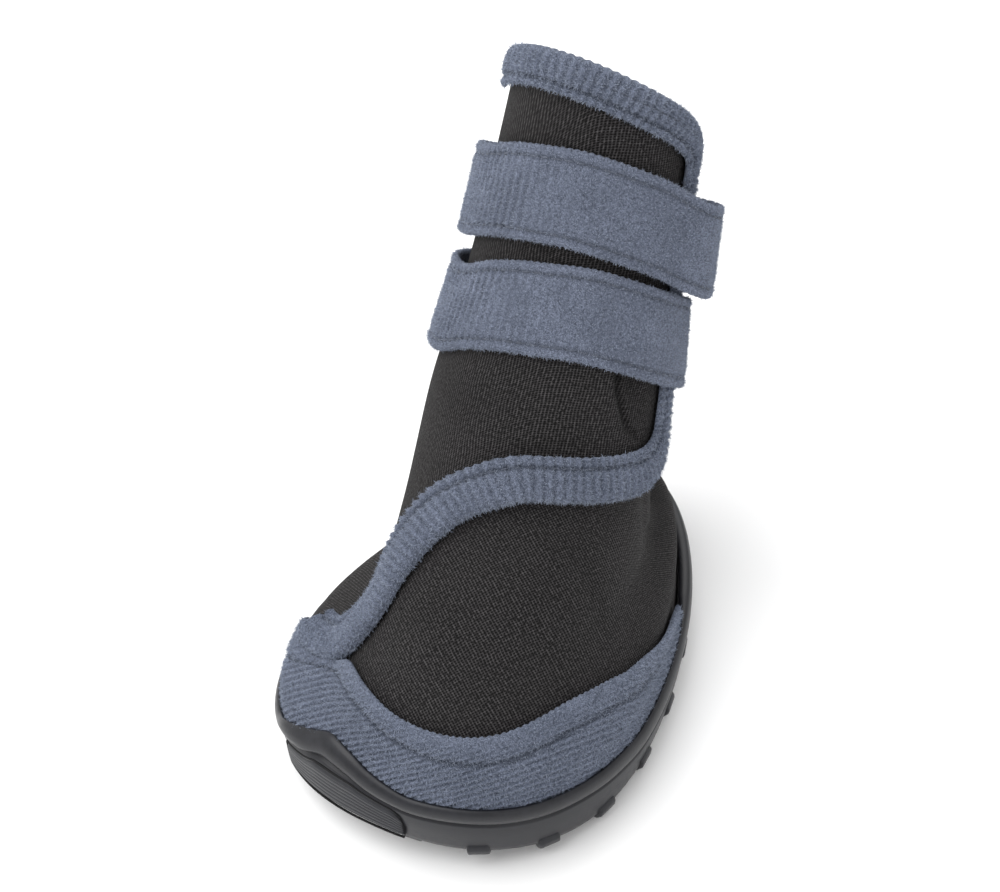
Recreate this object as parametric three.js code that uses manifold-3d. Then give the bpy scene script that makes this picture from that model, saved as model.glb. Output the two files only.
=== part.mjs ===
// A tall dog shoe of stretch cloth on a moulded rubber cup sole.
// Units are millimetres. +Z is up, the toe points along -Y, and the shoe opens on its +X side.
import * as THREE from "three";
import { mergeVertices } from "three/addons/utils/BufferGeometryUtils.js";
import Module from "manifold-3d";

const wasm = await Module();
wasm.setup();

// Driving sizes
const soleLength = 112;
const soleWidth = 82;
const widestShare = 0.38;
const treadDepth = 2.2; // the lugs stand this far below the sole's underside
const soleFloor = 3.6; // rubber between the underside and the foot bed
const rimHeight = 12.5; // from the ground to the top of the rim at the back
const rimWall = 2.6;
const toeRise = 9.5; // the rim climbs this much more at the toe, by the shares in rimRise
const toeSpring = 5.5; // the underside lifts this much at the toe
const heelSpring = 1.2;
const humpTurn = -14; // degrees, the toe's highest place seen from above
const clearance = 0.3; // between pieces that touch
const collarDrop = 16; // front of the collar above its back
const collarPeak = -0.15;
const outlineSquare = 2.3;
const heelTaper = 0.34;

const upperHeight = 121;
const shaftLean = 32; // degrees, back from upright
const clothWall = 2.4;
const ankleWidth = 42;
const ankleDepth = 47;
const collarWidth = 34.4;
const collarDepth = 36;

// Sole details
const randSink = 2; // the rim stands this far over the foot of the rand
const lugCount = 20;
const lugLength = 5.6;
const lugPitch = 14;
const archMiddle = 14;
const archLength = 17;
const archRise = 1.2; // the lugs are this much shorter there
const bumperReach = 22; // degrees to each side of the hump
const bumperTop = 15.4;
const bumperEnd = 8.6;
const bumperBelow = 6.2; // its upper edge stays this far below the top of the rim
const bumperSink = 1.5;
const bumperRibs = 6;
const bumperRib = 0.5;
const insoleDepth = 3;

// The slot under the flap
const slotTurn = 82;
const slotSpan = 9;
const slotFoot = 0.56;

// Flap: turns in degrees, climbs from 0 at the foot to 1 at the collar
const flapLeft = -72;
const flapRight = 103;
const flapTop = 0.99;
const flapLift = 0.6; // off the upper
const flapWall = 1.7;
const flapColumns = 28;
const flapRows = 12;
const cornerStart = 78;
const cornerRise = 0.075;
const headStart = 70;
const headRise = 0.035;
const flapFootLine = [[-72, 0.17], [-62, 0.205], [-57, 0.245], [-54, 0.281], [-48, 0.343], [-40, 0.385], [-31, 0.418], [-16, 0.459], [1, 0.493], [25, 0.521], [42, 0.523]];
const bindingWidth = 8;
const bindingWall = 1.2;
const foldGap = 0.6; // between the folded binding and the cloth in it

// Rand
const randLeft = -80;
const randRight = 116;
const randLift = 0.65; // off the upper
const randWall = 1.4;
const randLine = [[-80, 0.15], [-70, 0.165], [-60, 0.2], [-54, 0.25], [-48, 0.28], [-36, 0.294], [-20, 0.3], [0, 0.297], [30, 0.294], [60, 0.3], [80, 0.285], [95, 0.25], [108, 0.18], [116, 0.12]];

// Straps: lines of [turn, climb] and stand-offs of [turn, offset]
const strapWidth = 20;
const strapWall = 1.8;
const upperStrap = {
  line: [[-150, 0.82], [-59, 0.83], [-15, 0.849], [24, 0.859], [60, 0.854], [105, 0.828], [160, 0.83]],
  standOff: [[-150, 0.5], [-125, 2.4], [-85, 5.6], [-60, 4], [-30, 2.8], [40, 2.8], [70, 4.8], [100, 8.5], [112, 8.5], [135, 3], [160, 0.5], [174, 0.5]],
  left: -150,
  right: 174,
  across: 32,
};
const lowerStrap = {
  line: [[-150, 0.68], [-50, 0.69], [-18, 0.715], [3, 0.727], [34, 0.735], [56, 0.73], [79, 0.718], [110, 0.7], [160, 0.68]],
  standOff: [[-150, 0.5], [-125, 2.4], [-85, 5], [-60, 3.6], [-30, 2.8], [45, 2.8], [70, 4.3], [104, 4.3], [135, 2], [160, 0.5], [174, 0.5]],
  left: -150,
  right: 174,
  across: 32,
};

const degrees = Math.PI / 180;
const fullTurn = (s) => s * 2 * Math.PI;

// Signed power, which turns a circle into a squarer or rounder loop
function signedPower(value, power) {
  return Math.sign(value) * Math.pow(Math.abs(value), power);
}

// A value read from [place, value] pairs, on a smooth curve through them that never overshoots
function readPairs(pairs, place) {
  const last = pairs.length - 1;
  if (place <= pairs[0][0]) return pairs[0][1];
  if (place >= pairs[last][0]) return pairs[last][1];
  const k = pairs.findIndex(([at]) => at >= place);
  const slope = (i) => {
    if (i === 0 || i === last) return 0;
    const [before, here, after] = [pairs[i - 1], pairs[i], pairs[i + 1]];
    const [m, n] = [(here[1] - before[1]) / (here[0] - before[0]), (after[1] - here[1]) / (after[0] - here[0])];
    return m * n > 0 ? (2 * m * n) / (m + n) : 0;
  };
  const [[x0, y0], [x1, y1]] = [pairs[k - 1], pairs[k]];
  const span = x1 - x0;
  const t = (place - x0) / span;
  const [m0, m1] = [slope(k - 1) * span, slope(k) * span];
  return y0 + t * (m0 + t * (3 * (y1 - y0) - 2 * m0 - m1 + t * (m0 + m1 - 2 * (y1 - y0))));
}

// A closed loop round the shoe. Turn 0 is the toe, a quarter turn is the +X side.
// set is the widest place along Y, toe and heel the reach from there, square the exponent.
function loopPoint(turn, { wide, set, toe, heel, square, taper }) {
  const front = Math.cos(turn) > 0;
  const back = -signedPower(Math.cos(turn), 2 / square);
  const narrow = front ? 1 : 1 - taper * (Math.sin(turn) < 0 ? 1.45 : 0.65) * back ** 1.4;
  return [(wide / 2) * narrow * signedPower(Math.sin(turn), 2 / square), set, back * (front ? toe : heel)];
}

// The sole's outline, grown outwards
function outlinePoint(turn, grow = 0) {
  const [x, set, reach] = loopPoint(turn, {
    wide: soleWidth + 2 * grow,
    set: -soleLength * (0.5 - widestShare),
    toe: soleLength * widestShare + grow,
    heel: soleLength * (1 - widestShare) + grow,
    square: outlineSquare,
    taper: heelTaper,
  });
  return new THREE.Vector2(x, set + reach);
}

// How far the underside lifts off the ground
const springStart = -0.18;
const heelStart = 0.3;
function spring(y) {
  const toeShare = Math.max(0, (springStart * soleLength - y) / (soleLength * (0.5 + springStart)));
  const heelShare = Math.max(0, (y - heelStart * soleLength) / (soleLength * (0.5 - heelStart)));
  return toeSpring * toeShare ** 2 + heelSpring * heelShare ** 2;
}

// The upper's sections from the foot bed to the collar
const footInset = rimWall + clearance;
const footWidth = soleWidth - 2 * footInset;
const footToe = soleLength * widestShare - footInset;
const footHeel = soleLength * (1 - widestShare) - footInset;
const footSet = -soleLength * (0.5 - widestShare);
const sections = [
  { rise: 0.0, sway: 0, tilt: 0.0, wide: footWidth, set: footSet, toe: footToe, heel: footHeel, square: outlineSquare, taper: heelTaper },
  { rise: 0.09, sway: 0, tilt: 0.0, wide: footWidth, set: footSet, toe: footToe, heel: footHeel, square: outlineSquare, taper: heelTaper },
  { rise: 0.18, sway: 7, tilt: 0.1, wide: 0.79 * footWidth, set: 0.85 * footSet, toe: 0.95 * footToe, heel: 0.9 * footHeel, square: 2.2, taper: 1.1 * heelTaper },
  { rise: 0.27, sway: 7, tilt: 0.45, wide: 0.6 * footWidth, set: 0.1 * footSet, toe: 0.9 * footToe, heel: 0.66 * footHeel, square: 2.1, taper: 0.7 * heelTaper },
  { rise: 0.37, sway: 2.5, tilt: 0.8, wide: 1.13 * ankleWidth, set: 0.14 * upperHeight, toe: 1.16 * ankleDepth / 2, heel: 1.1 * ankleDepth / 2, square: 2.05, taper: 0 },
  { rise: 0.49, sway: 0, tilt: 1.0, wide: 1.05 * ankleWidth, set: 0.24 * upperHeight, toe: ankleDepth / 2, heel: ankleDepth / 2, square: 2.05, taper: 0 },
  { rise: 0.65, sway: -0.3, tilt: 1.0, wide: 1.14 * collarWidth, set: 0.34 * upperHeight, toe: 1.08 * collarDepth / 2, heel: 1.1 * collarDepth / 2, square: 2.05, taper: 0 },
  { rise: 0.82, sway: 0, tilt: 1.0, wide: 1.05 * collarWidth, set: 0.43 * upperHeight, toe: collarDepth / 2, heel: collarDepth / 2, square: 2.05, taper: 0 },
  { rise: 1.0, sway: 0.3, tilt: 1.0, wide: collarWidth, set: 0.53 * upperHeight, toe: collarDepth / 2, heel: collarDepth / 2, square: 2.05, taper: 0 },
];
const tables = {};
for (const column of Object.keys(sections[0])) {
  tables[column] = sections.map((row, k) => [k / (sections.length - 1), row[column]]);
}
// rise and set keep their slope past the last rows
tables.rise.unshift([-0.125, -0.09]);
tables.rise.push([1.125, 1.18]);
tables.set.push([1.125, 0.63 * upperHeight]);
const bedHeight = treadDepth + soleFloor;

function upperSkin(turn, climb) {
  const read = (column) => readPairs(tables[column], climb);
  const tilt = read("tilt") * shaftLean * degrees;
  const [x, set, reach] = loopPoint(turn, {
    wide: read("wide"),
    set: read("set"),
    toe: read("toe"),
    heel: read("heel"),
    square: read("square"),
    taper: read("taper"),
  });
  const y = set + reach * Math.cos(tilt);
  const settle = Math.max(0, 1 - climb / 0.3);
  const top = Math.max(0, (climb - 0.6) / 0.4);
  const drop = collarDrop * top * top * (1 - Math.cos(turn - collarPeak)) / 2;
  return new THREE.Vector3(
    x + read("sway"),
    y - drop * Math.sin(tilt),
    bedHeight + clearance + read("rise") * upperHeight - reach * Math.sin(tilt) + spring(y) * settle - drop * Math.cos(tilt),
  );
}

function upperPoint(turn, climb, offset = 0) {
  const step = 0.004;
  const around = upperSkin(turn + step, climb).sub(upperSkin(turn - step, climb));
  const low = Math.min(Math.max(climb - step, 0), 1 - 2 * step);
  const up = upperSkin(turn, low + 2 * step).sub(upperSkin(turn, low));
  const normal = around.cross(up).normalize();
  return upperSkin(turn, climb).add(normal.multiplyScalar(offset));
}

// The climb at which the upper reaches a height
function climbAtHeight(turn, height) {
  let [low, high] = [0, 0.5];
  for (let k = 0; k < 24; k++) {
    const middle = (low + high) / 2;
    if (upperSkin(turn, middle).z < height) low = middle;
    else high = middle;
  }
  return low;
}

// A closed solid between two offsets of a surface, over a patch of across by along cells
function shell({ surface, place, inner, outer, across, along, ring = false }) {
  const columns = ring ? across : across + 1;
  const rows = along + 1;
  const points = [];
  const offsets = [outer, inner].map((o) => (typeof o === "function" ? o : () => o));
  for (const offset of offsets)
    for (let j = 0; j < rows; j++)
      for (let i = 0; i < columns; i++) {
        const [s, t] = [i / across, j / along];
        const [turn, climb] = place(s, t);
        points.push(...surface(turn, climb, offset(s, t)).toArray());
      }
  const at = (side, i, j) => side * columns * rows + j * columns + (i % columns);
  const faces = [];
  const quad = (a, b, c, d) => faces.push(a, b, c, a, c, d);
  for (let j = 0; j < along; j++)
    for (let i = 0; i < across; i++) {
      quad(at(0, i, j), at(0, i + 1, j), at(0, i + 1, j + 1), at(0, i, j + 1));
      quad(at(1, i, j), at(1, i, j + 1), at(1, i + 1, j + 1), at(1, i + 1, j));
    }
  for (let i = 0; i < across; i++) {
    quad(at(0, i + 1, 0), at(0, i, 0), at(1, i, 0), at(1, i + 1, 0));
    quad(at(0, i, along), at(0, i + 1, along), at(1, i + 1, along), at(1, i, along));
  }
  if (!ring)
    for (let j = 0; j < along; j++) {
      quad(at(0, 0, j), at(0, 0, j + 1), at(1, 0, j + 1), at(1, 0, j));
      quad(at(0, across, j + 1), at(0, across, j), at(1, across, j), at(1, across, j + 1));
    }
  return solidFrom(points, faces);
}

function solidFrom(points, faces) {
  let volume = 0;
  const v = (k) => new THREE.Vector3().fromArray(points, 3 * k);
  for (let k = 0; k < faces.length; k += 3)
    volume += v(faces[k]).dot(v(faces[k + 1]).cross(v(faces[k + 2])));
  if (volume < 0)
    for (let k = 0; k < faces.length; k += 3)
      [faces[k + 1], faces[k + 2]] = [faces[k + 2], faces[k + 1]];
  const geometry = new THREE.BufferGeometry();
  geometry.setAttribute("position", new THREE.Float32BufferAttribute(points, 3));
  geometry.setIndex(faces);
  const merged = mergeVertices(geometry, 1e-4);
  return new wasm.Manifold(
    new wasm.Mesh({
      numProp: 3,
      vertProperties: merged.attributes.position.array,
      triVerts: new Uint32Array(merged.index.array),
    }),
  );
}

// The sole
// The rim's climb by turn: turns from the hump in degrees, shares of toeRise
const rimRise = [
  [-76, 0], [-46, 0.05], [-31, 0.2], [-22, 0.47], [-10, 0.77], [0, 1], [8, 0.94], [17, 0.67],
  [26, 0.53], [38, 0.54], [74, 0.54], [92, 0.4], [109, 0.1], [134, 0],
];
function rimTop(turn) {
  const aside = turn - humpTurn * degrees;
  const fromHump = Math.atan2(Math.sin(aside), Math.cos(aside)) / degrees;
  return rimHeight + toeRise * readPairs(rimRise, fromHump);
}

// A closed solid swept along a path of rings, with flat ends
function sweep(rings, profile) {
  const flat = profile.map(([across, out]) => new THREE.Vector2(across, out));
  const turned = THREE.ShapeUtils.isClockWise(flat);
  if (turned) flat.reverse();
  const points = [];
  for (const ring of rings) for (const p of turned ? [...ring].reverse() : ring) points.push(...p.toArray());
  const count = profile.length;
  const at = (k, i) => k * count + (i % count);
  const faces = [];
  for (let k = 0; k < rings.length - 1; k++)
    for (let i = 0; i < count; i++)
      faces.push(at(k, i), at(k, i + 1), at(k + 1, i + 1), at(k, i), at(k + 1, i + 1), at(k + 1, i));
  const last = rings.length - 1;
  for (const [a, b, c] of THREE.ShapeUtils.triangulateShape(flat, []))
    faces.push(at(0, c), at(0, b), at(0, a), at(last, a), at(last, b), at(last, c));
  return solidFrom(points, faces);
}

// Rings of a profile carried along a line of [turn, climb] on the upper.
// Each profile point is [distance to the left of the line, offset out of the skin].
// The far side of the profile may be narrowed along the way, and upward measures up the skin instead.
function ringsAlong(line, profile, widthAt = () => 1, upward = false) {
  return line.map(([turn, climb], k) => {
    const [before, after] = [line[Math.max(k - 1, 0)], line[Math.min(k + 1, line.length - 1)]];
    const [e1, e2] = skinSlopes(turn, climb);
    const ahead = e1.clone().multiplyScalar(after[0] - before[0]).addScaledVector(e2, after[1] - before[1]).normalize();
    const side = upward ? e2.clone().normalize() : e1.clone().cross(e2).normalize().cross(ahead);
    const width = widthAt(k / (line.length - 1));
    return profile.map(([across, out]) => {
      const reach = Math.abs(across) > 2 ? across * width : across;
      return upperPoint(...walk(turn, climb, side, reach), out);
    });
  });
}

// The skin's two slopes, per radian of turn and per whole climb
function skinSlopes(turn, climb) {
  const step = 0.002;
  const low = Math.min(Math.max(climb - step, 0), 1 - 2 * step);
  return [
    upperSkin(turn + step, climb).sub(upperSkin(turn - step, climb)).divideScalar(2 * step),
    upperSkin(turn, low + 2 * step).sub(upperSkin(turn, low)).divideScalar(2 * step),
  ];
}

// The [turn, climb] reached by going a distance over the skin in a direction
function walk(turn, climb, direction, distance) {
  const steps = 5;
  for (let k = 0; k < steps; k++) {
    const [e1, e2] = skinSlopes(turn, climb);
    const [a, b, c] = [e1.dot(e1), e1.dot(e2), e2.dot(e2)];
    const [p, q] = [direction.dot(e1), direction.dot(e2)];
    const [u, v] = [p * c - q * b, q * a - p * b];
    const pace = e1.clone().multiplyScalar(u).addScaledVector(e2, v).length();
    turn += (u * distance) / steps / pace;
    climb += (v * distance) / steps / pace;
  }
  return [turn, climb];
}

// Sole
// The wall leans in over the toe, as far as the upper does at that height
function wallLean(turn, height) {
  const edge = outlinePoint(turn);
  const across = outlinePoint(turn + 0.01).sub(outlinePoint(turn - 0.01)).normalize();
  const rest = upperSkin(turn, 0.05);
  const here = upperSkin(turn, climbAtHeight(turn, height + spring(edge.y)));
  return Math.max(0, (rest.x - here.x) * across.y - (rest.y - here.y) * across.x);
}
function solePoint(turn, height, offset) {
  const p = outlinePoint(turn, offset - wallLean(turn, height));
  return new THREE.Vector3(p.x, p.y, height + spring(outlinePoint(turn, offset).y));
}

function soleCup() {
  const around = 64;
  const profile = (top) => [
    [0, treadDepth, "share"],
    [0.6, treadDepth, "share"],
    [-2.2, treadDepth],
    [-0.4, treadDepth + 0.9],
    [0.3, top - 5.4],
    [-0.5, top - 4.9],
    [0.3, top - 4.4],
    [0.9, top - 2.6],
    [0.6, top - 0.8],
    [0.2, top],
    [0.05, top - 0.2],
    [0, top - randSink - 0.9],
    [-rimWall + 0.5, top - randSink - 0.9],
    [-rimWall + 0.5, Math.min(top - randSink - 1.2, 18.4)],
    [-rimWall + 0.3, Math.min(top - randSink - 1.5, 16)],
    [-rimWall, bedHeight],
    [0.6, bedHeight, "share"],
    [0, bedHeight, "share"],
  ];
  const rings = [];
  for (let i = 0; i <= around; i++) {
    const turn = (i / around) * 2 * Math.PI;
    rings.push(
      profile(rimTop(turn)).map(([offset, height, kind]) => {
        if (kind === "share") {
          const p = outlinePoint(turn, -rimWall).multiplyScalar(offset);
          return new THREE.Vector3(p.x, p.y, height + spring(p.y));
        }
        return solePoint(turn, height, offset);
      }),
    );
  }
  const points = [];
  const rows = rings[0].length;
  for (const ring of rings.slice(0, -1)) for (const p of ring) points.push(...p.toArray());
  const at = (i, j) => (i % around) * rows + j;
  const faces = [];
  for (let i = 0; i < around; i++)
    for (let j = 0; j < rows - 1; j++)
      faces.push(at(i, j), at(i + 1, j), at(i + 1, j + 1), at(i, j), at(i + 1, j + 1), at(i, j + 1));
  return solidFrom(points, faces);
}

// How much shorter the lugs are under the arch
function archLift(y) {
  const share = (y - archMiddle) / (archLength / 2);
  return Math.abs(share) < 1 ? archRise : 0;
}

// One lug, from a side view [out, up] drawn outwards from the middle of the sole
function lug(side, length, x, y, angle) {
  const base = spring(y) + archLift(y);
  const block = wasm.Manifold.extrude([side.map(([out, up]) => [out, Math.max(up, 0)])], length);
  return block
    .translate([0, 0, -length / 2])
    .rotate([90, 0, 0])
    .rotate([0, 0, angle / degrees])
    .translate([x, y, base]);
}

function soleLugs() {
  const lugs = [];
  const claw = [[-8, 0], [-1, 0], [1.1, 2.2], [1.1, 4.8], [0, 6], [-1.4, 6], [-2.2, 4], [-8, 3.2]];
  const stub = [[-8, 0], [-1.8, 0], [-1.4, 4], [-8, 3.2]];
  // even steps along the outline
  const outline = [];
  let length = 0;
  for (let k = 0; k <= 720; k++) {
    const turn = (k / 720) * 2 * Math.PI;
    const p = outlinePoint(turn);
    if (k) length += p.distanceTo(outline[k - 1].p);
    outline.push({ turn, p, length });
  }
  for (let n = 0; n < lugCount; n++) {
    const spot = outline.find((o) => o.length >= ((n + 0.5) / lugCount) * length);
    const near = outlinePoint(spot.turn + 0.01).sub(outlinePoint(spot.turn - 0.01));
    const angle = Math.atan2(-near.x, near.y);
    const aside = Math.abs(Math.atan2(Math.sin(spot.turn - humpTurn * degrees), Math.cos(spot.turn - humpTurn * degrees)));
    const shape = aside < (bumperReach + 6) * degrees ? stub : claw;
    lugs.push(lug(shape, lugLength, spot.p.x, spot.p.y, angle));
  }
  const block = [[-4, 0], [4, 0], [4.6, 3.2], [-4.6, 3.2]];
  for (let row = 0; row < 5; row++) {
    const y = (row - 2) * lugPitch;
    for (const x of row % 2 ? [-9, 9] : [-17, 0, 17]) lugs.push(lug(block, 7, x, y, 0));
  }
  return lugs;
}

// The toe bumper's edge: its lower and upper heights at a turn
function bumperSpan(turn, inset) {
  const share = Math.min(1, Math.abs(turn / degrees - humpTurn) / bumperReach);
  const lens = bumperEnd + (bumperTop - bumperEnd) * Math.sqrt(Math.max(0, 1 - share ** 2.4));
  const top = Math.min(lens, rimTop(turn) - bumperBelow);
  return [treadDepth + 1.2 + inset, top - inset];
}
function bumperPatch(inset, inner, outer, across, along) {
  const half = bumperReach * degrees - inset / 36;
  return shell({
    surface: (turn, height, offset) => solePoint(turn, height, offset),
    place: (s, t) => {
      const turn = humpTurn * degrees + Math.sin((s - 0.5) * Math.PI) * half;
      const [low, high] = bumperSpan(turn, inset);
      return [turn, low + (high - low) * t];
    },
    inner,
    outer,
    across,
    along,
  });
}

let sole = soleCup();
for (const piece of soleLugs()) sole = sole.add(piece);
sole = sole.subtract(bumperPatch(0, -bumperSink, 4, 14, 3));
const ribs = (s, t) => 0.15 + bumperRib * Math.sin(Math.PI * t * bumperRibs) ** 2 * Math.min(1, 6 * Math.min(s, 1 - s));
const toeBumper = bumperPatch(clearance, -bumperSink + clearance, ribs, 12, 2 * bumperRibs);

// Insole: follows the foot bed inside the upper
const insoleInset = footInset + clothWall + 2 * clearance;
function insolePoint(turn, share, lift) {
  const p = outlinePoint(turn, -insoleInset).multiplyScalar(share);
  return new THREE.Vector3(p.x, p.y, bedHeight + 0.45 + lift + spring(p.y));
}
function makeInsole() {
  const around = 32;
  const profile = [[0.5, 0], [0.985, 0], [1, 0.5], [1, insoleDepth - 0.5], [0.985, insoleDepth], [0.5, insoleDepth]];
  const points = [];
  for (let i = 0; i < around; i++)
    for (const [share, lift] of profile) points.push(...insolePoint(fullTurn(i / around), share, lift).toArray());
  const rows = profile.length;
  const low = points.length / 3;
  points.push(...insolePoint(0, 0, 0).toArray(), ...insolePoint(0, 0, insoleDepth).toArray());
  const at = (i, j) => (i % around) * rows + j;
  const faces = [];
  for (let i = 0; i < around; i++) {
    for (let j = 0; j < rows - 1; j++)
      faces.push(at(i, j), at(i + 1, j), at(i + 1, j + 1), at(i, j), at(i + 1, j + 1), at(i, j + 1));
    faces.push(low, at(i + 1, 0), at(i, 0), low + 1, at(i, rows - 1), at(i + 1, rows - 1));
  }
  return solidFrom(points, faces);
}

// Upper, with a slot from the collar down under the flap's free edge
const upperTop = 0.98;
// More rows round the instep, where the sock bends
const bend = (t) => (0.45 / (2 * Math.PI)) * Math.sin(2 * Math.PI * (t - 0.33));
const closer = (t) => t - bend(t) + bend(0);
const sock = shell({
  surface: upperPoint,
  place: (s, t) => [fullTurn(s), closer(t) * upperTop],
  inner: -clothWall,
  outer: 0,
  across: 40,
  along: 18,
  ring: true,
});
const slotCut = shell({
  surface: upperPoint,
  place: (s, t) => [(slotTurn + (s - 0.5) * slotSpan * (0.4 + 0.6 * t)) * degrees, slotFoot + (1 - slotFoot) * t],
  inner: -clothWall - 3,
  outer: 3,
  across: 2,
  along: 12,
});
const upper = sock.subtract(slotCut);

// Front flap. Its lower edge runs over the vamp and down to the rim on the left.
function flapFoot(turn) {
  const corner = Math.max(0, (turn - cornerStart) / (flapRight - cornerStart));
  const round = cornerRise * (1 - Math.sqrt(Math.max(0, 1 - corner ** 2)));
  return readPairs(flapFootLine, turn) + round;
}
function flapHead(turn) {
  const corner = Math.max(0, (turn - headStart) / (flapRight - headStart));
  return flapTop - headRise * (1 - Math.sqrt(Math.max(0, 1 - corner ** 2)));
}
const flapRise = (t) => t ** 1.3;
const flapTurn = (s) => flapLeft + (flapRight - flapLeft) * (s - 0.06 * Math.sin(2 * Math.PI * s));
const frontFlap = shell({
  surface: upperPoint,
  place: (s, t) => {
    const turn = flapTurn(s);
    const foot = flapFoot(turn);
    return [turn * degrees, foot + (flapHead(turn) - foot) * flapRise(t)];
  },
  inner: flapLift,
  outer: flapLift + flapWall,
  across: flapColumns,
  along: flapRows,
});

// The flap's edge as a line, from the left along its foot, up its free edge and back along its head.
// It passes through the corners of the flap's own cells.
const flapEdge = [];
const columns = Array.from({ length: flapColumns + 1 }, (_, k) => flapTurn(k / flapColumns));
for (const turn of columns) flapEdge.push([turn * degrees, flapFoot(turn)]);
const footCount = flapEdge.length;
for (let k = 1; k < flapRows; k++) {
  const [foot, head] = [flapFoot(flapRight), flapHead(flapRight)];
  flapEdge.push([flapRight * degrees, foot + (head - foot) * flapRise(k / flapRows)]);
}
for (const turn of columns.reverse()) flapEdge.push([turn * degrees, flapHead(turn)]);
const over = flapLift + flapWall + foldGap;
const bindingProfile = [
  [-1.3, foldGap],
  [-clearance, foldGap],
  [-clearance, over],
  [bindingWidth / 2, over],
  [bindingWidth, over],
  [bindingWidth, over + bindingWall - 0.3],
  [bindingWidth - 0.8, over + bindingWall],
  [-0.5, over + bindingWall],
  [-1.3, over + bindingWall - 0.8],
];
const narrowing = (share) => 1 - 0.22 * Math.min(1, Math.max(0, (share - 0.45) / 0.2));
const flapBinding = sweep(ringsAlong(flapEdge, bindingProfile, narrowing), bindingProfile);

// Collar binding round the back, folded over the edge of the upper
const collarEdge = [];
for (let k = 0; k <= 16; k++) {
  const turn = flapRight + 6 + (360 + flapLeft - flapRight - 11) * (k / 16);
  collarEdge.push([turn * degrees, upperTop]);
}
const foldOut = foldGap + bindingWall;
const foldIn = -clothWall - foldGap;
const foldedProfile = [
  [-bindingWidth, foldGap],
  [-bindingWidth, foldOut],
  [0.6, foldOut],
  [1.3, foldOut - 0.7],
  [1.3, foldIn - bindingWall + 0.7],
  [0.6, foldIn - bindingWall],
  [-bindingWidth + 2, foldIn - bindingWall],
  [-bindingWidth + 2, foldIn],
  [clearance, foldIn],
  [clearance, foldGap],
];
const collarBinding = sweep(ringsAlong(collarEdge, foldedProfile, undefined, true), foldedProfile);

// Toe rand, from the rim up to its own line, kept clear of the flap and its binding
const randLow = (turn) => climbAtHeight(turn, rimTop(turn) + spring(outlinePoint(turn).y) - randSink);
const rand = shell({
  surface: upperPoint,
  place: (s, t) => {
    const turn = (randLeft + (randRight - randLeft) * s) * degrees;
    const low = randLow(turn);
    const high = Math.max(low + 0.012, readPairs(randLine, turn / degrees));
    return [turn, low + (high - low) * t];
  },
  inner: randLift,
  outer: randLift + randWall,
  across: 34,
  along: 6,
});
const clearLine = flapEdge.slice(0, footCount);
const keepOut = [[-1.8, -0.6], [bindingWidth + 2, -0.6], [bindingWidth + 2, 6], [-1.8, 6]];
const flapRoom = shell({
  surface: upperPoint,
  place: (s, t) => {
    const turn = flapTurn(0.6 * s);
    return [turn * degrees, flapFoot(turn) - 0.015 + 0.12 * t];
  },
  inner: -0.6,
  outer: 6,
  across: 17,
  along: 3,
});
const toeRand = rand
  .subtract(sweep(ringsAlong(clearLine, keepOut), keepOut))
  .subtract(flapRoom)
  .decompose()
  .sort((a, b) => b.volume() - a.volume())[0];

// Straps: bands of one width that follow a line round the shaft at their own stand-off
function strap({ line, standOff, left, right, across }) {
  const step = 0.002;
  return shell({
    surface: upperPoint,
    place: (s, t) => {
      const degree = left + (right - left) * s;
      const turn = degree * degrees;
      const middle = readPairs(line, degree);
      const pace = upperSkin(turn, middle + step).distanceTo(upperSkin(turn, middle - step)) / (2 * step);
      return [turn, middle + ((t - 0.5) * strapWidth) / pace];
    },
    inner: (s) => readPairs(standOff, left + (right - left) * s),
    outer: (s) => readPairs(standOff, left + (right - left) * s) + strapWall,
    across,
    along: 3,
  });
}

const shoe = new THREE.Group();
const materials = {
  rubber: new THREE.MeshStandardMaterial({ color: 0x3b3d40, roughness: 0.75, metalness: 0 }),
  cloth: new THREE.MeshStandardMaterial({ color: 0x1c1a1a, roughness: 0.95, metalness: 0 }),
  fleece: new THREE.MeshStandardMaterial({ color: 0x7d8489, roughness: 1, metalness: 0 }),
};
function addPiece(name, solid, material) {
  const mesh = solid.getMesh();
  const geometry = new THREE.BufferGeometry();
  geometry.setAttribute("position", new THREE.BufferAttribute(mesh.vertProperties, 3));
  geometry.setIndex(new THREE.BufferAttribute(mesh.triVerts, 1));
  const piece = new THREE.Mesh(geometry, materials[material]);
  piece.name = name;
  shoe.add(piece);
}
addPiece("sole", sole, "rubber");
addPiece("toe_bumper", toeBumper, "rubber");
addPiece("insole", makeInsole(), "cloth");
addPiece("upper", upper, "cloth");
addPiece("front_flap", frontFlap, "cloth");
addPiece("flap_binding", flapBinding, "fleece");
addPiece("collar_binding", collarBinding, "fleece");
addPiece("toe_rand", toeRand, "fleece");
addPiece("strap_upper", strap(upperStrap), "fleece");
addPiece("strap_lower", strap(lowerStrap), "fleece");

export { upperPoint, outlinePoint, rimTop, spring, climbAtHeight, flapEdge };
export default shoe;
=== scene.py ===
# %% [markdown]
# # A soft dog shoe, dressed piece by piece
#
# The real shoe is a sock of knit-faced foam glued into a moulded rubber cup.
# A flap of the same cloth closes over the front, brushed tape edges it, and two loop straps hold it shut.
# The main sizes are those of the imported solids, so what follows is about how each material looks.

import math

import bmesh
import bpy
import numpy as np
from mathutils import Matrix, Vector


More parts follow.
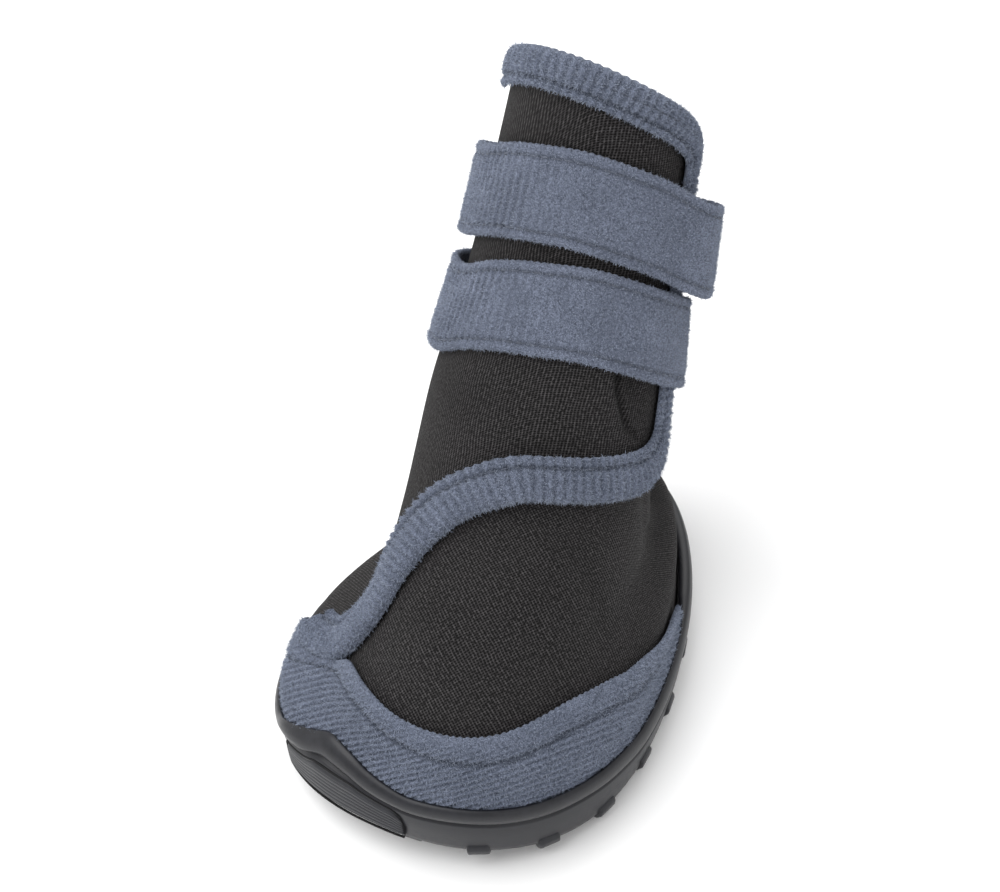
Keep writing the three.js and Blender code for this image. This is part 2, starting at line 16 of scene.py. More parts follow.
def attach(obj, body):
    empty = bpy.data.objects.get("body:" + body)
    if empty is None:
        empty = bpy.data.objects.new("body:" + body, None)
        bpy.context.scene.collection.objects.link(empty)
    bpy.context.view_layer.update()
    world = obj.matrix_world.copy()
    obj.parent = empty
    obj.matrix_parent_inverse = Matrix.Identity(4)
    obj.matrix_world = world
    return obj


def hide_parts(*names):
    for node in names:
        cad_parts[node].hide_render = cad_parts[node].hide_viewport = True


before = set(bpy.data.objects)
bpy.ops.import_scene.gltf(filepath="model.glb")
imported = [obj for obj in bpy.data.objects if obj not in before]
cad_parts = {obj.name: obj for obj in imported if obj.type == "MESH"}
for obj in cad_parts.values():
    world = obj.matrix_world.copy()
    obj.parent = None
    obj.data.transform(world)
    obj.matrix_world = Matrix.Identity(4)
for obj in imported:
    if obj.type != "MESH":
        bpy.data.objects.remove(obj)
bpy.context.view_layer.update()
mm = 0.001

# %% [markdown]
# ## The camera
#
# The photograph looks down on the toe from the front right, with the shoe turned a little in the picture.
# A long lens keeps the shaft and the toe in the photograph's proportion,
# and a small roll leans the shoe the same way.

# %% Place the camera
view_side, view_height, view_roll = math.radians(35), math.radians(46), math.radians(-7)
aim, distance = Vector((-0.5, 7, 64)) * mm, 465 * mm
backward = Vector((
    math.sin(view_side) * math.cos(view_height),
    -math.cos(view_side) * math.cos(view_height),
    math.sin(view_height)))
rightward = Vector((math.cos(view_side), math.sin(view_side), 0))
upward = backward.cross(rightward)
rolled = rightward * math.cos(view_roll) + upward * math.sin(view_roll)
lens = bpy.data.cameras.new("portrait_lens")
lens.lens, lens.sensor_width = 80.3, 36
camera = bpy.data.objects.new("camera", lens)
camera.matrix_world = Matrix((rolled, backward.cross(rolled), backward)).transposed().to_4x4()
camera.location = aim + backward * distance
bpy.context.collection.objects.link(camera)
bpy.context.scene.camera = camera
print("camera stands at", [round(v, 3) for v in camera.location])

# %% [markdown]
# ## The form under the cloth
#
# A shoe is made on a last, a solid block in the shape of the foot.
# Here the last is a stack of loops from the foot bed to the collar, and every soft piece is laid on it.
# A place on it is a turn round the shoe, from 0 at the toe,
# and a climb, from 0 at the foot bed to 1 at the collar.

# %% The sole's outline and the stack of loops
sole_length, sole_width, widest_share = 112.0, 82.0, 0.38
tread_depth, sole_floor, rim_height, rim_wall = 2.2, 3.6, 12.5, 2.6
toe_rise, toe_spring, heel_spring, hump_turn = 9.5, 5.5, 1.2, -14.0
gap, cloth_wall, shaft_lean = 0.3, 2.4, 32.0
collar_drop, collar_peak = 16.0, -0.15
sole_square, heel_taper = 2.3, 0.34
upper_height, ankle_width, ankle_depth, collar_width, collar_depth = 121.0, 42.0, 47.0, 34.4, 36.0
bed_height = tread_depth + sole_floor


def signed_power(value, power):
    return np.sign(value) * np.abs(value) ** power


def read_pairs(pairs, place):
    """A value from [place, value] pairs, on a smooth curve that never overshoots them."""
    xs, ys = np.array(pairs, float).T
    steps = np.diff(ys) / np.diff(xs)
    slopes = np.zeros(len(xs))
    both = steps[:-1] * steps[1:]
    total = np.where(both > 0, steps[:-1] + steps[1:], 1)
    slopes[1:-1] = np.where(both > 0, 2 * both / total, 0)
    place = np.clip(np.asarray(place, float), xs[0], xs[-1])
    k = np.clip(np.searchsorted(xs, place, side="left"), 1, len(xs) - 1)
    span = xs[k] - xs[k - 1]
    t = (place - xs[k - 1]) / span
    m0, m1, y0, y1 = slopes[k - 1] * span, slopes[k] * span, ys[k - 1], ys[k]
    return y0 + t * (m0 + t * (3 * (y1 - y0) - 2 * m0 - m1 + t * (m0 + m1 - 2 * (y1 - y0))))


def loop_point(turn, wide, middle, toe, heel, square, taper):
    front = np.cos(turn) > 0
    back = -signed_power(np.cos(turn), 2 / square)
    lean = np.where(np.sin(turn) < 0, 1.45, 0.65)
    narrow = np.where(front, 1, 1 - taper * lean * np.abs(back) ** 1.4)
    x = wide / 2 * narrow * signed_power(np.sin(turn), 2 / square)
    return x, middle, back * np.where(front, toe, heel)


def outline(turn, grow=0.0):
    x, middle, reach = loop_point(
        turn, sole_width + 2 * grow, -sole_length * (0.5 - widest_share),
        sole_length * widest_share + grow, sole_length * (1 - widest_share) + grow, sole_square, heel_taper)
    return x, middle + reach


def spring(y):
    toe_share = np.maximum(0, (-0.18 * sole_length - y) / (sole_length * 0.32))
    heel_share = np.maximum(0, (y - 0.3 * sole_length) / (sole_length * 0.2))
    return toe_spring * toe_share**2 + heel_spring * heel_share**2

# %% The loops of the upper
inset = rim_wall + gap
foot_wide, foot_toe = sole_width - 2 * inset, sole_length * widest_share - inset
foot_heel, foot_middle = sole_length * (1 - widest_share) - inset, -sole_length * (0.5 - widest_share)
ankle_reach, collar_reach = ankle_depth / 2, collar_depth / 2
loops = np.array([
    # rise, sway, tilt, wide, middle, toe, heel, square, taper
    [0.00, 0.0, 0.00, foot_wide, foot_middle, foot_toe, foot_heel, sole_square, heel_taper],
    [0.09, 0.0, 0.00, foot_wide, foot_middle, foot_toe, foot_heel, sole_square, heel_taper],
    [0.18, 7.0, 0.10, 0.79 * foot_wide, 0.85 * foot_middle, 0.95 * foot_toe, 0.9 * foot_heel,
     2.2, 1.1 * heel_taper],
    [0.27, 7.0, 0.45, 0.6 * foot_wide, 0.1 * foot_middle, 0.9 * foot_toe, 0.66 * foot_heel,
     2.1, 0.7 * heel_taper],
    [0.37, 2.5, 0.80, 1.13 * ankle_width, 0.14 * upper_height, 1.16 * ankle_reach, 1.1 * ankle_reach,
     2.05, 0],
    [0.49, 0.0, 1.00, 1.05 * ankle_width, 0.24 * upper_height, ankle_reach, ankle_reach, 2.05, 0],
    [0.65, -0.3, 1.00, 1.14 * collar_width, 0.34 * upper_height, 1.08 * collar_reach, 1.1 * collar_reach,
     2.05, 0],
    [0.82, 0.0, 1.00, 1.05 * collar_width, 0.43 * upper_height, collar_reach, collar_reach, 2.05, 0],
    [1.00, 0.3, 1.00, collar_width, 0.53 * upper_height, collar_reach, collar_reach, 2.05, 0]])
tables = [[[k / 8, value] for k, value in enumerate(column)] for column in loops.T]
tables[0] = [[-0.125, -0.09]] + tables[0] + [[1.125, 1.18]]
tables[4] = tables[4] + [[1.125, 0.63 * upper_height]]


def skin(turn, climb):
    """The outside of the sock in millimetres."""
    turn, climb = np.broadcast_arrays(np.asarray(turn, float), np.asarray(climb, float))
    rise, sway, tilt, wide, middle, toe, heel, square, taper = (read_pairs(t, climb) for t in tables)
    tilt = np.radians(tilt * shaft_lean)
    x, middle, reach = loop_point(turn, wide, middle, toe, heel, square, taper)
    y = middle + reach * np.cos(tilt)
    settle = np.maximum(0, 1 - climb / 0.3)
    top = np.maximum(0, (climb - 0.6) / 0.4)
    drop = collar_drop * top**2 * (1 - np.cos(turn - collar_peak)) / 2
    up = rise * upper_height - reach * np.sin(tilt) - drop * np.cos(tilt)
    z = bed_height + gap + up + spring(y) * settle
    return np.stack([x + sway, y - drop * np.sin(tilt), z], -1)


def slopes(turn, climb, step=0.003):
    low = np.clip(climb - step, 0, 1 - 2 * step)
    around = (skin(turn + step, climb) - skin(turn - step, climb)) / (2 * step)
    up = (skin(turn, low + 2 * step) - skin(turn, low)) / (2 * step)
    return around, up


def unit(vectors):
    return vectors / np.linalg.norm(vectors, axis=-1, keepdims=True)


def on_skin(turn, climb, offset=0.0):
    """A point above the sock, in millimetres."""
    around, up = slopes(turn, climb)
    return skin(turn, climb) + unit(np.cross(around, up)) * np.asarray(offset, float)[..., None]


def walk(turn, climb, direction, distance):
    """The [turn, climb] reached by going a distance over the skin in a direction."""
    for _ in range(5):
        e1, e2 = slopes(turn, climb)
        a, b, c = (e1 * e1).sum(-1), (e1 * e2).sum(-1), (e2 * e2).sum(-1)
        p, q = (direction * e1).sum(-1), (direction * e2).sum(-1)
        u, v = p * c - q * b, q * a - p * b
        pace = np.linalg.norm(e1 * u[..., None] + e2 * v[..., None], axis=-1)
        turn, climb = turn + u * distance / 5 / pace, climb + v * distance / 5 / pace
    return turn, climb


def climb_at(turn, height):
    low, high = np.zeros_like(turn), np.full_like(turn, 0.5)
    for _ in range(22):
        middle = (low + high) / 2
        under = skin(turn, middle)[..., 2] < height
        low, high = np.where(under, middle, low), np.where(under, high, middle)
    return low

# %% [markdown]
# ## Helpers for cloth
#
# Cloth starts flat, so each cloth piece starts as a flat grid from an operator.
# A rule then lays every point of the grid on the last, and the flat place is kept as the UV map for the knit.

# %% Lay a flat grid on the form and finish it
def finished(name, sheet, material, node=None):
    """Turns a bmesh into an object that rides with the shoe."""
    mesh = bpy.data.meshes.new(name)
    sheet.to_mesh(mesh)
    sheet.free()
    mesh.polygons.foreach_set("use_smooth", [True] * len(mesh.polygons))
    piece = bpy.data.objects.new(name, mesh)
    bpy.context.collection.objects.link(piece)
    mesh.materials.append(material)
    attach(piece, "root")
    if node:
        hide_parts(node)
    print(name, len(mesh.polygons), "faces")
    return piece


def laid(across, along, rule):
    """A grid whose points are placed by rule(s, t) in millimetres, with its flat place as its UV map.
    The rule gives the points, the flat places and, if it likes, how hollow each point is, from 0 to 1."""
    sheet = bmesh.new()
    bmesh.ops.create_grid(sheet, x_segments=across, y_segments=along, size=0.5)
    sheet.verts.ensure_lookup_table()
    s = np.array([v.co.x + 0.5 for v in sheet.verts])
    t = np.array([v.co.y + 0.5 for v in sheet.verts])
    points, flat, *hollow = rule(s, t)
    uv = sheet.loops.layers.uv.new("cloth")
    depth = sheet.verts.layers.float.new("hollow")
    for vert, place in zip(sheet.verts, points * mm):
        vert.co = place
    for vert, value in zip(sheet.verts, hollow[0] if hollow else np.zeros(len(s))):
        vert[depth] = value
    sheet.verts.index_update()
    for face in sheet.faces:
        for loop in face.loops:
            loop[uv].uv = flat[loop.vert.index]
    return sheet


def joined(sheet, reach=0.002, capped=False):
    """Joins the points that meet, closes the open ends if asked, and turns the faces outward."""
    bmesh.ops.remove_doubles(sheet, verts=sheet.verts, dist=reach * mm)
    if capped:
        bmesh.ops.holes_fill(sheet, edges=[e for e in sheet.edges if e.is_boundary], sides=0)
    bmesh.ops.recalc_face_normals(sheet, faces=sheet.faces)
    return sheet

# %% [markdown]
# ## Finishes
#
# A few finishes cover the shoe: knit-faced foam, brushed tape, sewing thread and moulded rubber.
# What more than one of them needs, such as uneven colour, is a node group that is built once.

# %% A node group for uneven colour
def new_group(name, inputs, outputs):
    group = bpy.data.node_groups.new(name, "ShaderNodeTree")
    for title, kind, value in inputs:
        socket = group.interface.new_socket(title, in_out="INPUT", socket_type=kind)
        if value is not None:
            socket.default_value = value
    for title, kind in outputs:
        group.interface.new_socket(title, in_out="OUTPUT", socket_type=kind)
    return group, group.nodes.new("NodeGroupInput"), group.nodes.new("NodeGroupOutput")


def maths(tree, operation, first, second=None, third=None):
    node = tree.nodes.new("ShaderNodeMath")
    node.operation = operation
    for socket, value in zip(node.inputs, (first, second, third)):
        if value is None:
            continue
        if isinstance(value, (int, float)):
            socket.default_value = value
        else:
            tree.links.new(value, socket)
    return node.outputs[0]


def noise(tree, place, scale, detail=2.0, roughness=0.5):
    node = tree.nodes.new("ShaderNodeTexNoise")
    node.inputs["Scale"].default_value = scale
    node.inputs["Detail"].default_value = detail
    node.inputs["Roughness"].default_value = roughness
    if place is not None:
        tree.links.new(place, node.inputs["Vector"])
    return node.outputs["Fac"]


def mixed(tree, factor, first, second):
    node = tree.nodes.new("ShaderNodeMix")
    node.data_type = "RGBA"
    for title, value in (("Factor", factor), ("A", first), ("B", second)):
        socket = node.inputs[title]
        if isinstance(value, (tuple, list)):
            socket.default_value = (*value, 1)
        elif isinstance(value, (int, float)):
            socket.default_value = value
        else:
            tree.links.new(value, socket)
    return node.outputs["Result"]


cloudy, ins, outs = new_group(
    "uneven_dye",
    [("Place", "NodeSocketVector", None),
     ("Deep", "NodeSocketColor", (0, 0, 0, 1)), ("Pale", "NodeSocketColor", (1, 1, 1, 1)),
     ("Patches", "NodeSocketFloat", 60.0), ("Specks", "NodeSocketFloat", 1500.0)],
    [("Color", "NodeSocketColor"), ("Value", "NodeSocketFloat")])
patch_noise = cloudy.nodes.new("ShaderNodeTexNoise")
speck_noise = cloudy.nodes.new("ShaderNodeTexNoise")
for node, size in ((patch_noise, "Patches"), (speck_noise, "Specks")):
    cloudy.links.new(ins.outputs["Place"], node.inputs["Vector"])
    cloudy.links.new(ins.outputs[size], node.inputs["Scale"])
    node.inputs["Detail"].default_value = 3
specks = maths(cloudy, "MULTIPLY", speck_noise.outputs["Fac"], 0.55)
share = maths(cloudy, "MULTIPLY_ADD", patch_noise.outputs["Fac"], 0.45, specks)
spread = maths(cloudy, "MULTIPLY_ADD", share, 3.0, -1.0)
held = cloudy.nodes.new("ShaderNodeClamp")
cloudy.links.new(spread, held.inputs["Value"])
dye = cloudy.nodes.new("ShaderNodeMix")
dye.data_type = "RGBA"
cloudy.links.new(held.outputs[0], dye.inputs["Factor"])
cloudy.links.new(ins.outputs["Deep"], dye.inputs["A"])
cloudy.links.new(ins.outputs["Pale"], dye.inputs["B"])
cloudy.links.new(dye.outputs["Result"], outs.inputs["Color"])
cloudy.links.new(held.outputs[0], outs.inputs["Value"])
print("uneven_dye has", len(cloudy.nodes), "nodes")

# %% [markdown]
# The face of the foam is a fine jersey: columns and rows of small loops, and pinholes between them.
# The group reads the cloth's flat place in millimetres, so a loop is the same size all over the shoe.
# A slow noise bends the rows a little, as a knit that was pulled over a last never lies quite straight.

# %% A node group for the jersey face
jersey, ins, outs = new_group(
    "jersey_loops",
    [("Flat", "NodeSocketVector", None), ("Column", "NodeSocketFloat", 0.66),
     ("Row", "NodeSocketFloat", 0.52)],
    [("Height", "NodeSocketFloat"), ("Gap", "NodeSocketFloat"), ("Shine", "NodeSocketFloat")])
parts = jersey.nodes.new("ShaderNodeSeparateXYZ")
jersey.links.new(ins.outputs["Flat"], parts.inputs[0])
drift = maths(jersey, "MULTIPLY_ADD", noise(jersey, ins.outputs["Flat"], 0.12, 1), 1.0, -0.5)
waves = []
for axis, size in ((0, "Column"), (1, "Row")):
    place = maths(jersey, "ADD", parts.outputs[axis], drift)
    angle = maths(jersey, "MULTIPLY", maths(jersey, "DIVIDE", place, ins.outputs[size]), 2 * math.pi)
    waves.append(maths(jersey, "MULTIPLY_ADD", maths(jersey, "COSINE", angle), 0.5, 0.5))
between_columns = maths(jersey, "POWER", waves[0], 0.7)
between_rows = maths(jersey, "POWER", waves[1], 0.5)
pinhole = maths(jersey, "MULTIPLY", between_columns, between_rows)
loop_noise = noise(jersey, ins.outputs["Flat"], 1.6, 1)
jersey.links.new(maths(jersey, "SUBTRACT", 1.0, pinhole), outs.inputs["Height"])
# Gap marks the pinholes, which the cloth paints near-black as painted shade.
jersey.links.new(maths(jersey, "POWER", pinhole, 0.8), outs.inputs["Gap"])
# Shine marks the loop tops, which the cloth paints lighter as a painted highlight.
top = maths(jersey, "POWER", maths(jersey, "SUBTRACT", 1.0, pinhole), 2.5)
lit = maths(jersey, "MULTIPLY", top, maths(jersey, "MULTIPLY_ADD", loop_noise, 3.0, -1.0))
shine_clamp = jersey.nodes.new("ShaderNodeClamp")
jersey.links.new(lit, shine_clamp.inputs["Value"])
jersey.links.new(shine_clamp.outputs[0], outs.inputs["Shine"])
print("jersey_loops has", len(jersey.nodes), "nodes")

# %% [markdown]
# Brushed tape is covered with small tufts. Round cells of a Voronoi texture stand for the tufts,
# with painted shade where two of them meet, and a fine noise breaks them into hairs.

# %% A node group for brushed pile
pile, ins, outs = new_group(
    "brushed_pile",
    [("Place", "NodeSocketVector", None), ("Tufts", "NodeSocketFloat", 1150.0),
     ("Hairs", "NodeSocketFloat", 4200.0)],
    [("Height", "NodeSocketFloat"), ("Value", "NodeSocketFloat")])
cells = pile.nodes.new("ShaderNodeTexVoronoi")
cells.feature = "F1"
cells.inputs["Randomness"].default_value = 0.85
shake = pile.nodes.new("ShaderNodeTexNoise")
shake.inputs["Scale"].default_value = 900
pile.links.new(ins.outputs["Place"], shake.inputs["Vector"])
nudge = pile.nodes.new("ShaderNodeVectorMath")
nudge.operation = "MULTIPLY_ADD"
nudge.inputs[1].default_value = (0.0009, 0.0009, 0.0009)
pile.links.new(shake.outputs["Color"], nudge.inputs[0])
pile.links.new(ins.outputs["Place"], nudge.inputs[2])
pile.links.new(nudge.outputs[0], cells.inputs["Vector"])
pile.links.new(ins.outputs["Tufts"], cells.inputs["Scale"])
tuft = maths(pile, "MULTIPLY_ADD", cells.outputs["Distance"], -1.0, 1.0)
hair_noise = pile.nodes.new("ShaderNodeTexNoise")
hair_noise.inputs["Detail"].default_value = 2
pile.links.new(ins.outputs["Place"], hair_noise.inputs["Vector"])
pile.links.new(ins.outputs["Hairs"], hair_noise.inputs["Scale"])
tuft_height = maths(pile, "MULTIPLY_ADD", hair_noise.outputs["Fac"], 1.0, maths(pile, "MULTIPLY", tuft, 0.5))
pile.links.new(tuft_height, outs.inputs["Height"])
tone_clamp = pile.nodes.new("ShaderNodeClamp")
pile.links.new(maths(pile, "MULTIPLY_ADD", tuft_height, 1.9, -0.95), tone_clamp.inputs["Value"])
pile.links.new(tone_clamp.outputs[0], outs.inputs["Value"])
print("brushed_pile has", len(pile.nodes), "nodes")

# %% [markdown]
# Each finish is then a short material that places these groups with its own colours and sizes.

# %% The materials
def new_material(name, roughness, sheen=0.0, sheen_tint=(1, 1, 1), specular=0.5):
    material = bpy.data.materials.new(name)
    material.use_nodes = True
    tree = material.node_tree
    surface = tree.nodes["Principled BSDF"]
    surface.inputs["Roughness"].default_value = roughness
    surface.inputs["Sheen Weight"].default_value = sheen
    surface.inputs["Sheen Roughness"].default_value = 0.45
    surface.inputs["Sheen Tint"].default_value = (*sheen_tint, 1)
    surface.inputs["Specular IOR Level"].default_value = specular
    return material, tree, surface


def placed_group(tree, group, **values):
    node = tree.nodes.new("ShaderNodeGroup")
    node.node_tree = group
    for title, value in values.items():
        if isinstance(value, (tuple, list)):
            node.inputs[title].default_value = (*value, 1)
        elif isinstance(value, (int, float)):
            node.inputs[title].default_value = value
        else:
            tree.links.new(value, node.inputs[title])
    return node


def bump(tree, surface, height, distance, strength=1.0):
    node = tree.nodes.new("ShaderNodeBump")
    node.inputs["Distance"].default_value = distance
    node.inputs["Strength"].default_value = strength
    tree.links.new(height, node.inputs["Height"])
    tree.links.new(node.outputs["Normal"], surface.inputs["Normal"])


def flat_place(tree):
    node = tree.nodes.new("ShaderNodeUVMap")
    node.uv_map = "cloth"
    return node.outputs[0]


def object_place(tree):
    return tree.nodes.new("ShaderNodeTexCoord").outputs["Object"]


def hollow_value(tree):
    """How deep a point lies in a rib, a seam or a crease, which its mesh carries as an attribute, and which
    the materials use to paint shade into these hollows.
    """
    node = tree.nodes.new("ShaderNodeAttribute")
    node.attribute_name = "hollow"
    return node.outputs["Fac"]


def make_foam_cloth():
    material, tree, surface = new_material("black_jersey", 0.85, 0.03, (0.9, 0.88, 0.85), 0.14)
    loops_node = placed_group(tree, jersey, Flat=flat_place(tree), Column=0.66, Row=0.52)
    dye_node = placed_group(
        tree, cloudy, Place=object_place(tree), Deep=(0.0088, 0.0082, 0.0085), Pale=(0.0245, 0.0227, 0.0233),
        Patches=55.0, Specks=900.0)
    # The pinholes are painted near-black as painted shade.
    holes = mixed(tree, loops_node.outputs["Gap"], dye_node.outputs["Color"], (0.0006, 0.0006, 0.0006))
    # The loop tops get a lighter painted highlight.
    face = mixed(tree, maths(tree, "MULTIPLY", loops_node.outputs["Shine"], 0.8), holes, (0.09, 0.085, 0.087))
    # Creases and fold hollows, from the hollow attribute, are painted near-black as painted shade.
    crease_shaded = mixed(tree, maths(tree, "MULTIPLY", hollow_value(tree), 0.8), face, (0.003, 0.003, 0.003))
    tree.links.new(crease_shaded, surface.inputs["Base Color"])
    bump(tree, surface, loops_node.outputs["Height"], 0.00025, 0.8)
    return material


def make_brushed_tape(name, deep, pale, tufts):
    material, tree, surface = new_material(name, 0.95, 0.12, (0.75, 0.82, 0.9), 0.15)
    place = object_place(tree)
    pile_node = placed_group(tree, pile, Place=place, Tufts=tufts, Hairs=4200.0)
    dye_node = placed_group(tree, cloudy, Place=place, Deep=deep, Pale=pale, Patches=90.0, Specks=1500.0)
    # The gaps between tufts are painted darker as painted shade.
    dark = tuple(0.5 * value for value in deep)
    nap = mixed(tree, pile_node.outputs["Value"], dark, dye_node.outputs["Color"])
    # The rib troughs and the seam trough, from the hollow attribute, get painted shade.
    darkest = tuple(0.3 * value for value in deep)
    sunk = mixed(tree, maths(tree, "MULTIPLY", hollow_value(tree), 0.72), nap, darkest)
    tree.links.new(sunk, surface.inputs["Base Color"])
    bump(tree, surface, pile_node.outputs["Height"], 0.0004, 0.7)
    return material


def make_thread(name, deep, pale):
    material, tree, surface = new_material(name, 0.7, 0.2, (0.75, 0.82, 0.9), 0.3)
    place = object_place(tree)
    dye_node = placed_group(tree, cloudy, Place=place, Deep=deep, Pale=pale, Patches=300.0, Specks=4000.0)
    tree.links.new(dye_node.outputs["Color"], surface.inputs["Base Color"])
    bump(tree, surface, noise(tree, place, 6000, 1), 0.0001, 0.6)
    return material


def make_rubber(name, deep, pale, roughness):
    material, tree, surface = new_material(name, roughness, 0, (1, 1, 1), 0.36)
    place = object_place(tree)
    dye_node = placed_group(tree, cloudy, Place=place, Deep=deep, Pale=pale, Patches=45.0, Specks=700.0)
    tree.links.new(dye_node.outputs["Color"], surface.inputs["Base Color"])
    polish = maths(tree, "MULTIPLY_ADD", dye_node.outputs["Value"], 0.14, roughness - 0.07)
    tree.links.new(polish, surface.inputs["Roughness"])
    bump(tree, surface, noise(tree, place, 2600, 2, 0.5), 0.00005, 0.5)
    return material


black_jersey = make_foam_cloth()
brushed_tape = make_brushed_tape("brushed_tape", (0.125, 0.146, 0.2), (0.245, 0.277, 0.37), 1900.0)
loop_tape = make_brushed_tape("loop_tape", (0.13, 0.15, 0.205), (0.25, 0.283, 0.378), 2100.0)
loose_hair = make_thread("loose_hair", (0.19, 0.22, 0.285), (0.32, 0.36, 0.45))
# The thread has the tape's own blue-grey; its darker tone is painted shade of the trough it is pulled into.
shaded_thread = make_thread("shaded_thread", (0.05, 0.057, 0.076), (0.11, 0.125, 0.165))
moulded_rubber = make_rubber("moulded_rubber", (0.0062, 0.0065, 0.0088), (0.0135, 0.0142, 0.0188), 0.36)
insert_rubber = make_rubber("insert_rubber", (0.0125, 0.0132, 0.0165), (0.0225, 0.0237, 0.029), 0.46)
groove_shade = make_rubber("groove_shade", (0.002, 0.002, 0.0025), (0.004, 0.004, 0.005), 0.8)
print(len(bpy.data.materials), "materials")

# %% [markdown]
# ## Bands with rounded edges
#
# Tape, strap and flap are all thin bands with two long edges.
# A band's section is walked all the way round, over the top, round one edge, back underneath
# and round the other, so its edges are full and round instead of cut.

# %% The section of a band
def section(over, edge, under):
    """Steps round a band: [share of the width, reach past it, height from 1 on top to -1 underneath]."""
    rows = [[k / over, 0, 1] for k in range(over)]
    rows += [[1, math.sin(math.pi * k / edge), math.cos(math.pi * k / edge)] for k in range(edge)]
    rows += [[1 - k / under, 0, -1] for k in range(under)]
    rows += [[0, -math.sin(math.pi * k / edge), -math.cos(math.pi * k / edge)] for k in range(edge)]
    return np.array(rows + rows[:1])


def lengths_along(points):
    return np.concatenate([[0], np.cumsum(np.linalg.norm(np.diff(points, axis=0), axis=1))])


def band(name, place, inner, thick, columns, counts, material, node=None, relief=None, scallop=0.0, rib=1.3,
         closed_round=False, deep=0.5):
    """place(s, t) gives turn and climb, inner(s, t) the height of its underside,
    relief(u, v, width, turn, climb) a small change of the top, fully hollow at the depth called deep."""
    rows = section(*counts)
    grid = np.linspace(0, 1, columns + 1)
    middle_line = skin(*place(grid, np.full_like(grid, 0.5)))
    run = lengths_along(middle_line)
    across = [skin(*place(grid, np.full_like(grid, t))) for t in np.linspace(0, 1, 13)]
    widths = sum(np.linalg.norm(b - a, axis=1) for a, b in zip(across, across[1:]))
    level_runs = np.array([lengths_along(line) for line in across])
    level_runs -= level_runs[:, [columns // 2]]
    radius = thick / 2

    def rule(s, t):
        share, reach, height = rows[np.rint(t * (len(rows) - 1)).astype(int)].T
        width, u = np.interp(s, grid, widths), np.interp(s, grid, run)
        ends = np.minimum(u, run[-1] - u) / radius if not closed_round else np.full_like(u, 2.0)
        full = np.sqrt(np.clip(1 - (1 - np.minimum(ends, 1)) ** 2, 0.02, 1))
        out = radius + scallop * np.cos(2 * np.pi * u / rib)
        v = radius + share * (width - 2 * radius) + reach * out
        turn, climb = place(s, v / width)
        lift = inner(s, v / width) + radius + radius * height * full
        change = np.where(height > 0.5, relief(u, v, width, turn, climb), 0) if relief else np.zeros_like(s)
        level, column = np.clip(v / width, 0, 1) * 12, np.rint(s * columns).astype(int)
        below = np.minimum(level.astype(int), 11)
        lower_run, upper_run = level_runs[below, column], level_runs[below + 1, column]
        flat_u = lower_run * (below + 1 - level) + upper_run * (level - below)
        flat = np.stack([flat_u, np.where(height < -0.5, -v, v)], -1)
        return on_skin(turn, climb, lift + change), flat, np.clip(-change / deep, 0, 1)

    sheet = joined(laid(columns, len(rows) - 1, rule), capped=not closed_round)
    return finished(name, sheet, material, node)

# %% [markdown]
# ## Soft folds
#
# Foam cloth takes few folds, and they are soft. Each is drawn as a short line on the shoe,
# and the cloth sinks or rises along it, most on the line and less and less away from it.

# %% Folds drawn as lines on the shoe
def fold(turn, climb, line, depth, reach):
    """A trough along a line of [turn in degrees, climb], or a ridge where the depth is below zero."""
    turns, climbs = np.array(line, float).T
    knots = skin(np.radians(turns), climbs)
    points = skin(turn, climb)
    near, place = np.full(points.shape[:-1], 1e9), np.zeros(points.shape[:-1])
    for k, (start, end) in enumerate(zip(knots, knots[1:])):
        along = end - start
        share = np.clip(((points - start) * along).sum(-1) / (along * along).sum(), 0, 1)
        away = np.linalg.norm(points - start - share[..., None] * along, axis=-1)
        place = np.where(away < near, (k + share) / (len(knots) - 1), place)
        near = np.minimum(near, away)
    return -depth * np.exp(-((near / reach) ** 2)) * np.sin(np.pi * np.clip(0.08 + 0.84 * place, 0, 1)) ** 0.5


def folds(turn, climb, drawn):
    return sum(fold(turn, climb, *one) for one in drawn)

# %% [markdown]
# ## The sock
#
# The sock is one closed sleeve of foam about 2.4 mm thick, from under the foot bed to the collar.
# Over the toe its cloth was cut as a separate round panel, so there the rows of the knit run
# as if the panel were peeled off a ball, on a slant across the toe.

# %% Sew the sock
sock_top = 0.98


def sock_place(s, t):
    return 2 * np.pi * s, sock_top * t


sock_folds = [
    [[[-30, 0.36], [-12, 0.4], [8, 0.42]], 0.5, 2.6],
    [[[52, 0.47], [70, 0.42], [84, 0.35]], 0.6, 2.4],
    [[[96, 0.5], [112, 0.42], [128, 0.36]], 0.7, 2.6],
    [[[150, 0.36], [180, 0.33], [210, 0.36]], 0.9, 3.0],
    [[[156, 0.45], [182, 0.43], [206, 0.45]], 0.6, 2.4],
    [[[-100, 0.36], [-118, 0.4], [-136, 0.38]], 0.7, 2.6]]


def sock_relief(u, v, width, turn, climb):
    return folds(turn, climb, sock_folds)


sock = band("sock", sock_place, lambda s, t: np.full_like(s, -cloth_wall), cloth_wall, 220, (120, 8, 30),
            black_jersey, "upper", sock_relief, closed_round=True, deep=3.0)

# %% Turn the knit over the toe
ball_heart, ball_pole = np.array([2.0, -8.0, 8.0]), unit(np.array([0.3, -0.5, 0.81]))
row_slant, panel_reach = math.radians(-42), 1.25
shaft_axis = np.array([0, math.sin(math.radians(shaft_lean)), math.cos(math.radians(shaft_lean))])
across_ball = unit(np.cross(shaft_axis, ball_pole))
along_ball = np.cross(ball_pole, across_ball)


def peeled(points):
    """The flat place of a point of the toe panel, and how far it is from the panel's middle, as an angle."""
    spokes = points - ball_heart
    reach = np.linalg.norm(spokes, axis=-1)
    angle = np.arccos(np.clip(spokes @ ball_pole / reach, -1, 1))
    side, front = spokes @ across_ball, spokes @ along_ball
    far = np.maximum(np.hypot(side, front), 1e-6)
    u, v = reach * angle * side / far, reach * angle * front / far
    cosine, sine = math.cos(row_slant), math.sin(row_slant)
    return np.stack([u * cosine - v * sine, u * sine + v * cosine], -1), angle


